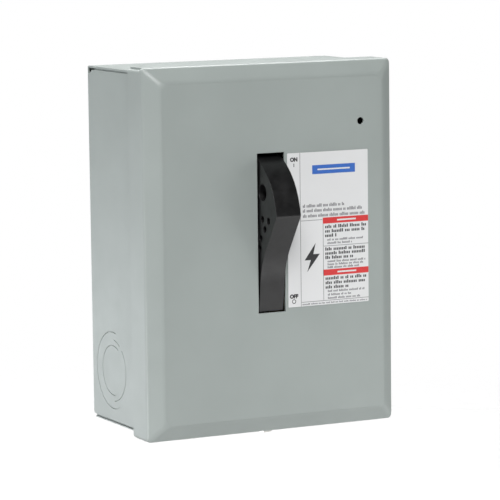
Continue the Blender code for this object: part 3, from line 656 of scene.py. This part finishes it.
COVER_LOW, COVER_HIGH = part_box("cover")
FACE_DEPTH = -COVER_LOW.y
FLANGE_BACK = 58.7 * MM
RIM_DEPTH = FACE_DEPTH - 6 * MM
BEVEL_WIDTH = 8.6 * MM
SLOT_X = (-10.6 * MM, 6.3 * MM)
SLOT_Z = (-35.3 * MM, 53.8 * MM)
LOCK_HOLE = (54.6 * MM, 68.9 * MM)
LOCK_HOLE_RADIUS = 2 * MM
HOOK_X = (-50 * MM, 50 * MM)
HOOK_WIDTH = 12 * MM
HOOK_DROP = 4 * MM
HOOK_DEPTH = 59 * MM
SCREW_DEPTH = 67 * MM
SCREW_NOTCH = 3.2 * MM
SCREW_HOLE_RADIUS = 2.8 * MM
MITRE = 2.3 * MM             # softness of the mitred corners
CORNER_STEP = 1.9 * MM       # the top flange ends this far in from the side flange's face
TAB_REACH = 6 * MM
TAB_SHEET = 0.7 * MM
CORNER_CLIP = (4.8 * MM, 1.9 * MM)           # off the flanges' lower rear corners: depth, height


def mitred_pan():
    """Rectangles joined in order round the bent sheet's section; the corners' edges are softened."""
    line = folded([(0.0, FLANGE_BACK), (0.0, RIM_DEPTH), (BEVEL_WIDTH, FACE_DEPTH),
                   (BEVEL_WIDTH + 5 * MM, FACE_DEPTH)], (RIM_BEND, FACE_BEND), 8)
    section = line + beside(line, COVER_SHEET)[::-1]
    shape = bmesh.new()
    loops = []
    for inset, depth in section:
        x, z = COVER_HIGH.x - inset, COVER_HIGH.z - inset
        corners = [(-x, -z), (x, -z), (x, z), (-x, z)]
        loops.append([shape.verts.new(at(a, depth, b)) for a, b in corners])
    mitres = []
    outer = len(line)
    for ring, (near, far) in enumerate(zip(loops, loops[1:] + loops[:1])):
        if ring in (outer - 1, len(loops) - 1):
            continue
        band(shape, near, far)
        if ring < outer - 1:
            mitres += [shape.edges.get(pair) for pair in zip(near, far)]
    shape.faces.new(loops[outer - 1])
    shape.faces.new(loops[outer])
    band(shape, loops[0], loops[-1])
    bmesh.ops.recalc_face_normals(shape, faces=shape.faces)
    bmesh.ops.bevel(shape, geom=mitres, offset=MITRE, segments=4, profile=0.5, affect="EDGES",
                    clamp_overlap=True)
    return from_shape("cover_shell", shape, "grey_paint")


def corner_tab(side):
    """The side flange's end, folded in under the top flange."""
    outer = side * (COVER_HIGH.x - COVER_SHEET / 2)
    under = COVER_HIGH.z - COVER_SHEET
    return block("corner_tab", sorted((outer, outer - side * TAB_REACH)),
                 (FLANGE_BACK + 0.3 * MM, RIM_DEPTH - RIM_BEND), (under - TAB_SHEET, under))


def corner_step(side):
    """Cuts the corner down to the tab's rounded fold, so that the flange above it shows its end."""
    face, fold = COVER_HIGH.x, 1.5 * MM
    top, step = COVER_HIGH.z, COVER_HIGH.z - COVER_SHEET
    outline = [(side * (face + 1 * MM), top + 1 * MM), (side * (face - CORNER_STEP), top + 1 * MM),
               (side * (face - CORNER_STEP), step)]
    for i in range(7):
        angle = math.pi / 2 * i / 6
        outline.append((side * (face - fold + fold * math.sin(angle)), step - fold * (1 - math.cos(angle))))
    outline.append((side * (face + 1 * MM), step - fold))
    return prism("corner_step", outline, FLANGE_BACK - 1 * MM, RIM_DEPTH - RIM_BEND - 0.2 * MM, "depth")


def cover_shell():
    shell = mitred_pan()
    front = (FACE_DEPTH - PAST, FACE_DEPTH + PAST)
    cut(shell, block("handle_slot", SLOT_X, front, SLOT_Z))
    cut(shell, rod("lock_hole", LOCK_HOLE, LOCK_HOLE_RADIUS, *front, "depth", sides=32))
    bottom, top = COVER_LOW.z, COVER_HIGH.z
    cut(shell, rod("screw_hole", (0.0, SCREW_DEPTH), SCREW_HOLE_RADIUS, bottom - PAST, bottom + PAST, "z"))
    for side in (-1, 1):
        edge = side * COVER_HIGH.x
        low, high = sorted((edge - side * PAST, edge + side * PAST))
        cut(shell, prism("corner_clip", lower_corner(FLANGE_BACK, bottom, CORNER_CLIP), low, high, "x"))
    for x in HOOK_X:
        across = (x - HOOK_WIDTH / 2, x + HOOK_WIDTH / 2)
        fuse(shell, block("hook", across, (HOOK_DEPTH, HOOK_DEPTH + COVER_SHEET),
                          (top - COVER_SHEET - HOOK_DROP, top - COVER_SHEET / 2)))
    for side in (-1, 1):
        fuse(shell, corner_tab(side))
        cut(shell, corner_step(side))
    soften(shell, EDGE)
    even_shading(shell)
    dress(shell.data, "grey_paint")
    return stands_for(shell, "cover", "grey_paint", "cover")


# Handle ---------------------------------------------------------------------------------------

HANDLE_LOW, HANDLE_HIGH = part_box("handle")
PIVOT = (64.8 * MM, 14.9 * MM)               # depth, z
DRUM_RADIUS = 39.5 * MM
SKIRT_THICKNESS = 3.5 * MM
APEX_ANGLE = 8.0
SKIRT_START = 66.0
SKIRT_END = 107.0
HUB_RADIUS = 9.5 * MM
NOSE_RADIUS = 2.2 * MM
SWEEP_RADIUS = 45 * MM
TAIL_THICKNESS = 4.2 * MM
PADLOCK_RADIUS = 4.6 * MM
PADLOCK_AT = (22.6 * MM, 17.6 * MM)
SEAL_HOLE_RADIUS = 1.95 * MM
SEAL_HOLES = [(22.0 * MM, 2.8 * MM), (29.2 * MM, 2.4 * MM), (24.8 * MM, -2.5 * MM),
              (19.9 * MM, -8.0 * MM), (18.6 * MM, -13.8 * MM)]
PIN_HOLE_RADIUS = 2.8 * MM
DRIVE_HOLE_RADIUS = 2.3 * MM
ARM = 12 * MM                # from the pivot to the drive pin, and its angle at rest
ARM_ANGLE = 60.0
TRAVEL = 40.0                # degrees from ON to OFF
SPRING_ARM = 24 * MM         # from the pivot to the spring's anchor


def polar(centre, radius, degrees):
    angle = math.radians(degrees)
    return centre[0] + radius * math.cos(angle), centre[1] + radius * math.sin(angle)


def handle_outline():
    ridge = polar(PIVOT, DRUM_RADIUS + 0.4 * MM, APEX_ANGLE)
    bend = (FACE_DEPTH + 2.1 * MM, -7.2 * MM)
    tail = (FACE_DEPTH - 1.5 * MM, -34.6 * MM)
    drum = circle(PIVOT, DRUM_RADIUS, 44, SKIRT_END, APEX_ANGLE + 3.0)
    nose = blended_corner(drum[-1], ridge, bend, NOSE_RADIUS, 7)
    sweep = blended_corner(ridge, bend, tail, SWEEP_RADIUS, 18)
    tail_back = (tail[0] - TAIL_THICKNESS, tail[1] + 0.4 * MM)
    hub = circle(PIVOT, HUB_RADIUS, 28, -48.0, -215.0)
    skirt = circle(PIVOT, DRUM_RADIUS - SKIRT_THICKNESS, 18, SKIRT_START, SKIRT_END)
    return drum[:-1] + nose + sweep + [tail, tail_back] + hub + skirt


def handle_fin():
    fin = prism("handle_fin", handle_outline(), HANDLE_LOW.x, HANDLE_HIGH.x, "x", "black_plastic")
    through = (HANDLE_LOW.x - PAST, HANDLE_HIGH.x + PAST)
    cut(fin, rod("pin_hole", PIVOT, PIN_HOLE_RADIUS, *through, "x"))
    drive = polar(PIVOT, ARM, ARM_ANGLE)
    cut(fin, rod("drive_hole", drive, DRIVE_HOLE_RADIUS, through[0], HANDLE_LOW.x + 7 * MM, "x"))
    padlock = (PIVOT[0] + PADLOCK_AT[0], PIVOT[1] + PADLOCK_AT[1])
    cut(fin, rod("padlock_hole", padlock, PADLOCK_RADIUS, *through, "x"))
    for out, up in SEAL_HOLES:
        cut(fin, rod("seal_hole", (PIVOT[0] + out, PIVOT[1] + up), SEAL_HOLE_RADIUS, *through, "x", sides=24))
    even_shading(soften(fin, 0.35 * MM, 3))
    return stands_for(fin, "handle", "black_plastic", "handle")


# Label ----------------------------------------------------------------------------------------

LABEL_LOW, LABEL_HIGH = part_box("label")
INK_BACK = -LABEL_LOW.y
INK_THICKNESS = 0.03 * MM


def label_spot(across, down):
    """A place on the label in millimetres from its upper left corner."""
    return LABEL_LOW.x + across * MM, LABEL_HIGH.z - down * MM


def label_plate():
    radius = 0.5 * MM
    corners = [(LABEL_HIGH.x, LABEL_HIGH.z, 0), (LABEL_LOW.x, LABEL_HIGH.z, 90),
               (LABEL_LOW.x, LABEL_LOW.z, 180), (LABEL_HIGH.x, LABEL_LOW.z, 270)]
    outline = []
    for x, z, start in corners:
        way = math.radians(start + 45)
        centre = (x - math.copysign(radius, math.cos(way)), z - math.copysign(radius, math.sin(way)))
        outline += circle(centre, radius, 5, start, start + 90)
    plate = prism("label_film", outline, -LABEL_HIGH.y, -LABEL_LOW.y, "depth", "label_white")
    even_shading(soften(plate, 0.05 * MM, 1, 60))
    return stands_for(plate, "cover", "label_white", "label")


class Print:
    """One ink layer on the label: flat bars, rings and outlines gathered in one mesh."""

    def __init__(self, name, finish, layer=0):
        self.name = name
        self.finish = finish
        self.back = INK_BACK + layer * INK_THICKNESS
        self.shape = bmesh.new()

    def outline(self, points):
        spots = [label_spot(*p) for p in points]
        front = self.back + INK_THICKNESS
        low = [self.shape.verts.new(at(x, self.back, z)) for x, z in spots]
        high = [self.shape.verts.new(at(x, front, z)) for x, z in spots]
        self.shape.faces.new(low)
        self.shape.faces.new(high)
        band(self.shape, low, high)

    def bar(self, across, down):
        self.outline([(across[0], down[0]), (across[1], down[0]), (across[1], down[1]), (across[0], down[1])])

    def ring(self, centre, radius, width, sides=28):
        for i in range(sides):
            turns = (360.0 * i / sides, 360.0 * (i + 1) / sides)
            outer = [polar(centre, radius, t) for t in turns]
            inner = [polar(centre, radius - width, t) for t in turns]
            self.outline(outer + inner[::-1])

    def greek(self, across, down, height, weight, draw):
        """A row of small upright blocks in word-like groups: it stands for text and says nothing."""
        x = across[0]
        while x < across[1] - weight:
            for _ in range(draw.randint(2, 8)):
                if x > across[1] - weight:
                    break
                tall = height if draw.random() < 0.25 else height * 0.72
                self.bar((x, x + weight), (down + height - tall, down + height))
                x += weight * 1.45
            x += weight * 1.3

    def finish_layer(self):
        layer = from_shape(self.name, self.shape, self.finish)
        return stands_for(layer, "cover", None)


# The label's print, in millimetres from its upper left corner. A row is (down, where it ends).
COLUMN = 8.0                 # the ON and OFF column's width
PANEL = 22.1                 # where the notice column starts
LABEL_WIDTH = 51.0
RED_BARS = [(37.1, 40.5), (66.4, 69.8)]
BOLD_ROWS = [(41.3, 50.4), (43.8, 49.2), (46.3, 31.5), (53.9, 50.4), (56.3, 49.8), (58.7, 42.0),
             (70.4, 50.4), (72.9, 49.8), (75.4, 38.5)]
SMALL_ROWS = [(49.0, 48.0), (50.9, 40.5), (61.2, 49.5), (62.9, 48.0), (64.6, 45.0), (78.0, 48.5),
              (80.0, 40.0), (81.9, 46.0)]
TITLE_ROWS = [(29.0, 36.1), (31.7, 47.1), (34.6, 50.0)]
BOLD = (1.85, 0.74)          # each size of print: its height and the width of its strokes
SMALL = (1.25, 0.50)
TITLE = (1.85, 0.56)
FINE = (0.9, 0.42)
WORD_SIZE = 2.9
WORD_WEIGHT = 0.19 * MM      # added all round its strokes
RULE = 0.28                  # width of the ruled lines


def word(text, centre, down, layer):
    """A short generic word set in Blender's own typeface, as a flat mesh."""
    curve = bpy.data.curves.new(text, "FONT")
    curve.body = text
    curve.align_x = "CENTER"
    curve.size = WORD_SIZE * MM
    curve.offset = WORD_WEIGHT
    curve.extrude = INK_THICKNESS / 2
    mesh = mesh_of_curve(text, curve)
    x, z = label_spot(centre, down)
    stand = Matrix.Translation(at(x, INK_BACK + INK_THICKNESS / 2, z)) @ Matrix.Rotation(math.pi / 2, 4, "X")
    mesh.transform(stand)
    layer.shape.from_mesh(weld(mesh))


def label_print():
    draw = random.Random(7)
    black = Print("label_print_black", "ink_black")
    grey = Print("label_print_grey", "ink_grey")
    red = Print("label_print_red", "ink_red")
    blue = Print("label_print_blue", "ink_blue")
    white = Print("label_print_white", "ink_white", 1)
    word("ON", 4.2, 4.6, black)
    black.bar((4.0, 4.45), (5.9, 7.7))
    word("OFF", 3.5, 81.1, black)
    black.ring((3.5, 83.0), 1.25, 0.4)
    grey.bar((COLUMN - RULE / 2, COLUMN + RULE / 2), (0.1, 86.1))
    grey.bar((COLUMN + RULE, PANEL - RULE), (38.0, 38.0 + RULE))
    grey.bar((PANEL, PANEL + RULE), (40.6, 83.6))
    grey.bar((PANEL + 2 * RULE, LABEL_WIDTH), (53.0, 53.0 + RULE))
    grey.bar((COLUMN + RULE, LABEL_WIDTH), (83.7, 83.7 + RULE))
    for top, bottom in RED_BARS:
        red.bar((PANEL, LABEL_WIDTH - 0.05), (top, bottom))
        white.bar((PANEL + 9.0, PANEL + 21.0), (top + 1.25, bottom - 1.25))
    for down, end in BOLD_ROWS:
        black.greek((PANEL + 1.4, end), down, *BOLD, draw)
    for down, end in SMALL_ROWS:
        grey.greek((PANEL + 2.8, end), down, *SMALL, draw)
    for down, end in TITLE_ROWS:
        grey.greek((COLUMN + 1.6, end), down, *TITLE, draw)
    grey.greek((COLUMN + 0.8, LABEL_WIDTH - 1.0), 84.6, *FINE, draw)
    blue.bar((15.7, 42.8), (7.4, 12.4))
    white.bar((19.0, 39.5), (9.5, 10.3))
    bolt = [(17.4, 51.0), (10.4, 60.4), (14.3, 60.4), (12.0, 67.0), (20.0, 57.2), (15.9, 57.2)]
    black.outline(bolt)
    for layer in (black, grey, red, blue, white):
        layer.finish_layer()


# Mechanism, fuses and fasteners ---------------------------------------------------------------

def fine_spring():
    """The toggle spring as one smooth wire: an eye round each pin and a close coil between."""
    low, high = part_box("toggle_spring")
    wire, coil_radius, turns, pin_radius = 0.5 * MM, 2.8 * MM, 11, 2.0 * MM
    x = (low.x + high.x) / 2
    drive = polar(PIVOT, ARM, ARM_ANGLE)
    anchor = polar(PIVOT, SPRING_ARM, ARM_ANGLE - TRAVEL / 2 + 180.0)
    start, end = Vector(anchor), Vector(drive)
    axis = (end - start).normalized()
    side = Vector((-axis.y, axis.x))
    eye = pin_radius + wire + 0.8 * MM
    length = (end - start).length
    run = length - 2 * eye
    inset = 2.2 * MM
    points = []

    def add(along, across, out):
        spot = start + axis * along + side * across
        points.append(at(x + out, spot.x, spot.y))

    for along, across in circle((0.0, 0.0), eye, 20, 70.0, 360.0):
        add(along, across, 0.0)
    per_turn = 18
    for i in range(turns * per_turn + 1):
        share = i / (turns * per_turn)
        angle = 2 * math.pi * i / per_turn
        add(eye + inset + (run - 2 * inset) * share, coil_radius * math.cos(angle),
            coil_radius * math.sin(angle))
    for along, across in circle((length, 0.0), eye, 20, 180.0, -110.0):
        add(along, across, 0.0)
    curve = bpy.data.curves.new("spring_wire", "CURVE")
    curve.dimensions = "3D"
    curve.bevel_depth = wire
    curve.bevel_resolution = 3
    curve.use_fill_caps = True
    spline = curve.splines.new("POLY")
    spline.points.add(len(points) - 1)
    for spot, point in zip(spline.points, points):
        spot.co = (*point, 1.0)
    mesh = mesh_of_curve("spring_wire", curve)
    spring = add_object("toggle_spring_wire", weld(mesh), "zinc_steel")
    mesh.shade_smooth()
    return stands_for(spring, "toggle_spring", "zinc_steel", "toggle_spring")


def turned_edge(radius, along, way, size, steps=4):
    """Profile points of a rounded rim, from the flat end to the side. way is where the end faces."""
    points = []
    for i in range(steps + 1):
        angle = math.pi / 2 * i / steps
        points.append((radius - size + size * math.sin(angle), along - way * size * (1 - math.cos(angle))))
    return points


def ferrule(node, inner_end):
    """A brass cap with rounded rims and a rolled crimp near its inner end."""
    low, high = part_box(node)
    centre = ((low.x + high.x) / 2, -(low.y + high.y) / 2)
    radius = (high.x - low.x) / 2
    bottom, top = low.z, high.z
    from_end, crimp_depth, crimp_half, rim = 2.4 * MM, 0.3 * MM, 0.7 * MM, 0.5 * MM
    crimp = (bottom + from_end) if inner_end == "bottom" else (top - from_end)
    profile = [(0.0, bottom)] + turned_edge(radius, bottom, -1, rim)
    for i in range(9):
        angle = math.pi * i / 8
        profile.append((radius - crimp_depth * math.sin(angle), crimp - crimp_half * math.cos(angle)))
    profile += turned_edge(radius, top, 1, rim)[::-1] + [(0.0, top)]
    cap = lathe(node + "_turned", profile, centre, "z", "ferrule_brass")
    even_shading(cap)
    return stands_for(cap, "enclosure", "ferrule_brass", node)


def fuses():
    for side in ("left", "right"):
        ferrule("fuse_" + side + "_cap_top", "bottom")
        ferrule("fuse_" + side + "_cap_bottom", "top")


SLOTTED = [name + "_" + place for name in ("line_screw", "load_screw") for place in ("left", "right")]
SLOTTED += [name + "_" + place for name in ("neutral_screw", "ground_screw", "base_screw", "frame_screw")
            for place in ("top", "bottom")]


def cheese_head(node, finish):
    """A slotted screw that points into the wall: a domed head on a threaded shank."""
    low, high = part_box(node)
    centre = ((low.x + high.x) / 2, (low.z + high.z) / 2)
    head = (high.x - low.x) / 2
    front, tip = -low.y, -high.y
    seat = front - 2.4 * MM
    shank = head * 0.58
    pitch, thread_depth = 0.7 * MM, 0.22 * MM
    profile = [(0.0, tip), (shank * 0.7, tip), (shank, tip + 0.4 * MM)]
    along = tip + 0.6 * MM
    while along < seat - pitch:
        profile += [(shank, along), (shank - thread_depth, along + pitch / 2)]
        along += pitch
    dome_start, dome_rise, dome_inset = front - 0.75 * MM, 0.70 * MM, 0.9 * MM
    profile += [(shank, along), (shank, seat), (head - 0.3 * MM, seat), (head, seat + 0.25 * MM)]
    profile += [(head, dome_start)]
    for i in range(1, 6):
        angle = math.pi / 2 * i / 5
        profile.append((head - dome_inset * (1 - math.cos(angle)) - head * 0.1 * math.sin(angle),
                        dome_start + dome_rise * math.sin(angle)))
    profile += [(0.0, front - 0.01 * MM)]
    screw = lathe(node + "_fine", profile, centre, "depth", finish, 40)
    slot_depth, slot_half = 1.1 * MM, 0.5 * MM
    slot = block("slot", (centre[0] - head * 2, centre[0] + head * 2), (front - slot_depth, front + PAST),
                 (centre[1] - slot_half, centre[1] + slot_half))
    cut(screw, slot)
    even_shading(screw)
    dress(screw.data, finish)
    return stands_for(screw, frame_body(node), finish, node)


def frame_body(node):
    return frame["nodes"][node]["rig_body"]


def screws():
    for node in SLOTTED:
        cheese_head(node, "green_steel" if node.startswith("ground") else "zinc_steel")


# The CAD nodes that are kept: each one's finish, and how wide its softened edges are in millimetres.
KEPT = {
    "switch_base": ("base_plastic", 0.45), "mechanism_frame": ("zinc_steel", 0.30),
    "handle_pin": ("zinc_steel", 0.20), "spring_anchor": ("zinc_steel", 0.15),
    "drive_pin": ("zinc_steel", 0.20), "drive_link": ("zinc_steel", 0.20),
    "crossbar": ("black_plastic", 0.40), "crossbar_pin": ("zinc_steel", 0.20),
    "neutral_support": ("insulator", 0.60), "neutral_bar": ("aluminium", 0.35),
    "ground_bar": ("aluminium", 0.35), "cover_screw": ("zinc_steel", 0.20),
    "cover_screw_nut": ("zinc_steel", 0.30),
}
for _side in ("left", "right"):
    KEPT.update({
        "line_jaw_" + _side: ("copper", 0.20), "hinge_clip_" + _side: ("copper", 0.20),
        "load_clip_" + _side: ("copper", 0.20), "hinge_rivet_" + _side: ("zinc_steel", 0.25),
        "line_lug_" + _side: ("aluminium", 0.40), "load_lug_" + _side: ("aluminium", 0.40),
        "blade_" + _side: ("copper", 0.20), "fuse_" + _side + "_tube": ("fuse_tube", 0.10),
    })


def dress_kept_nodes():
    """The CAD nodes that stay get their finish and softened edges, by modifiers alone."""
    for node, (finish, width) in KEPT.items():
        item = frame["nodes"][node]
        dress(item.data, finish)
        joined = item.modifiers.new("weld", "WELD")
        joined.merge_threshold = 0.002 * MM
        flats = item.modifiers.new("flats", "DECIMATE")
        flats.decimate_type = "DISSOLVE"
        flats.angle_limit = math.radians(1.0)
        bevel = item.modifiers.new("soft_edges", "BEVEL")
        bevel.width = width * MM
        bevel.segments = 2
        bevel.limit_method = "ANGLE"
        bevel.angle_limit = math.radians(38.0)
        normals = item.modifiers.new("even_shading", "WEIGHTED_NORMAL")
        normals.keep_sharp = True
        item.data.shade_smooth()


# Studio ---------------------------------------------------------------------------------------

FLOOR_Z = -0.30
FLOOR_RADIUS = 1.7
FLOOR_FADE = (0.55, 1.45)            # from how far out to how far out it thins out

# Each lamp: where it stands, its width and height, its colour and its power in watts. All face the box.
LAMPS = {
    "key": ((-0.57, -2.01, 1.32), (0.6, 0.6), (1.0, 1.0, 1.0), 27.6),
    "key_high": ((-0.80, -1.10, 1.80), (0.8, 0.8), (1.0, 1.0, 1.0), 24.0),
    "top_behind": ((0.0, 1.0, 1.5), (2.2, 1.2), (1.0, 1.0, 1.0), 55.0),
    "left_low": ((-0.55, -0.12, -0.20), (0.25, 0.2), (1.0, 0.98, 1.0), 1.2),
    "left_card": ((-0.74, 1.33, -0.45), (1.3, 0.5), (0.93, 0.965, 1.0), 5.2),
    "left_behind": ((-1.5, 0.9, 0.3), (0.8, 1.2), (0.8, 0.9, 1.0), 1.0),
    "right_low": ((0.75, -0.70, -0.26), (0.4, 0.2), (1.0, 1.0, 1.0), 1.4),
    "right_side": ((0.60, -0.20, -0.25), (0.3, 0.2), (1.0, 1.0, 1.0), 1.1),
    "floor_glow": ((0.18, -0.30, -0.29), (0.4, 0.3), (1.0, 1.0, 1.0), 0.30),
}
WITHOUT_GLINT = ("right_side",)      # lamps that don't show in the gloss
ROOM_FRONT = (0.01, 0.01, 0.01)      # what the box sees of the room, in front of it and behind it
ROOM_BEHIND = (0.05, 0.05, 0.05)
FLOOR_SEEN = 0.88                    # the floor's lightness to the eye
FLOOR_BOUNCE = 0.50                  # and to the light that it throws back


def area_light(name, place, size, colour, watts):
    data = bpy.data.lights.new(name, "AREA")
    data.shape = "RECTANGLE"
    data.size, data.size_y = size
    data.color = colour
    data.energy = watts
    lamp = bpy.data.objects.new(name, data)
    bpy.context.scene.collection.objects.link(lamp)
    lamp.location = place
    lamp.visible_camera = False
    lamp.visible_glossy = name not in WITHOUT_GLINT
    lamp.rotation_euler = (-Vector(place)).to_track_quat("-Z", "Y").to_euler()


def make_world():
    """White to the eye; to what it lights, a room that is dim in front and bright behind."""
    world = bpy.data.worlds.new("studio")
    bpy.context.scene.world = world
    world.use_nodes = True
    nodes, links = world.node_tree.nodes, world.node_tree.links
    nodes.clear()
    seen = nodes.new("ShaderNodeBackground")
    seen.inputs["Color"].default_value = (1.0, 1.0, 1.0, 1.0)
    place = nodes.new("ShaderNodeTexCoord")
    parts = nodes.new("ShaderNodeSeparateXYZ")
    links.new(place.outputs["Generated"], parts.inputs[0])
    behind = nodes.new("ShaderNodeMapRange")
    behind.interpolation_type = "SMOOTHSTEP"
    behind.inputs["From Min"].default_value = -0.15
    behind.inputs["From Max"].default_value = 0.35
    links.new(parts.outputs["Y"], behind.inputs["Value"])
    room_colour = nodes.new("ShaderNodeMix")
    room_colour.data_type = "RGBA"
    room_colour.inputs["A"].default_value = (*ROOM_FRONT, 1.0)
    room_colour.inputs["B"].default_value = (*ROOM_BEHIND, 1.0)
    links.new(behind.outputs["Result"], room_colour.inputs["Factor"])
    room = nodes.new("ShaderNodeBackground")
    links.new(room_colour.outputs["Result"], room.inputs["Color"])
    path = nodes.new("ShaderNodeLightPath")
    mix = nodes.new("ShaderNodeMixShader")
    out = nodes.new("ShaderNodeOutputWorld")
    links.new(path.outputs["Is Camera Ray"], mix.inputs["Fac"])
    links.new(room.outputs[0], mix.inputs[1])
    links.new(seen.outputs[0], mix.inputs[2])
    links.new(mix.outputs[0], out.inputs["Surface"])


def make_floor():
    """A pale disc that thins out towards its rim, so that it has no visible edge."""
    floor = rod("floor", (0.0, 0.0), FLOOR_RADIUS, FLOOR_Z - 0.01, FLOOR_Z, "z", sides=96)
    pale = Finish("floor", (FLOOR_SEEN,) * 3, 0.7)
    nodes, links = pale.nodes, pale.links
    pale.colour(pale.noise(3.0, 2.0), (FLOOR_SEEN - 0.005,) * 3, (FLOOR_SEEN + 0.005,) * 3)
    bounce = nodes.new("ShaderNodeBsdfDiffuse")
    bounce.inputs["Color"].default_value = (FLOOR_BOUNCE, FLOOR_BOUNCE, FLOOR_BOUNCE, 1.0)
    path = nodes.new("ShaderNodeLightPath")
    surface = nodes.new("ShaderNodeMixShader")
    links.new(path.outputs["Is Camera Ray"], surface.inputs["Fac"])
    links.new(bounce.outputs[0], surface.inputs[1])
    links.new(pale.shader.outputs[0], surface.inputs[2])
    length = nodes.new("ShaderNodeVectorMath")
    length.operation = "LENGTH"
    links.new(pale.place, length.inputs[0])
    fade = nodes.new("ShaderNodeMapRange")
    fade.interpolation_type = "SMOOTHSTEP"
    fade.inputs["From Min"].default_value = FLOOR_FADE[0]
    fade.inputs["From Max"].default_value = FLOOR_FADE[1]
    clear = nodes.new("ShaderNodeBsdfTransparent")
    mix = nodes.new("ShaderNodeMixShader")
    links.new(length.outputs["Value"], fade.inputs["Value"])
    links.new(fade.outputs["Result"], mix.inputs["Fac"])
    links.new(surface.outputs[0], mix.inputs[1])
    links.new(clear.outputs[0], mix.inputs[2])
    links.new(mix.outputs[0], nodes["Material Output"].inputs["Surface"])
    floor.data.materials.append(pale.material)


def make_studio():
    make_world()
    make_floor()
    for name, lamp in LAMPS.items():
        area_light(name, *lamp)
    bpy.context.scene.view_settings.view_transform = "Standard"


# Assembly -------------------------------------------------------------------------------------

make_camera()
make_studio()
box_shell()
knockouts()
cover_shell()
handle_fin()
label_plate()
label_print()
fine_spring()
fuses()
screws()
dress_kept_nodes()
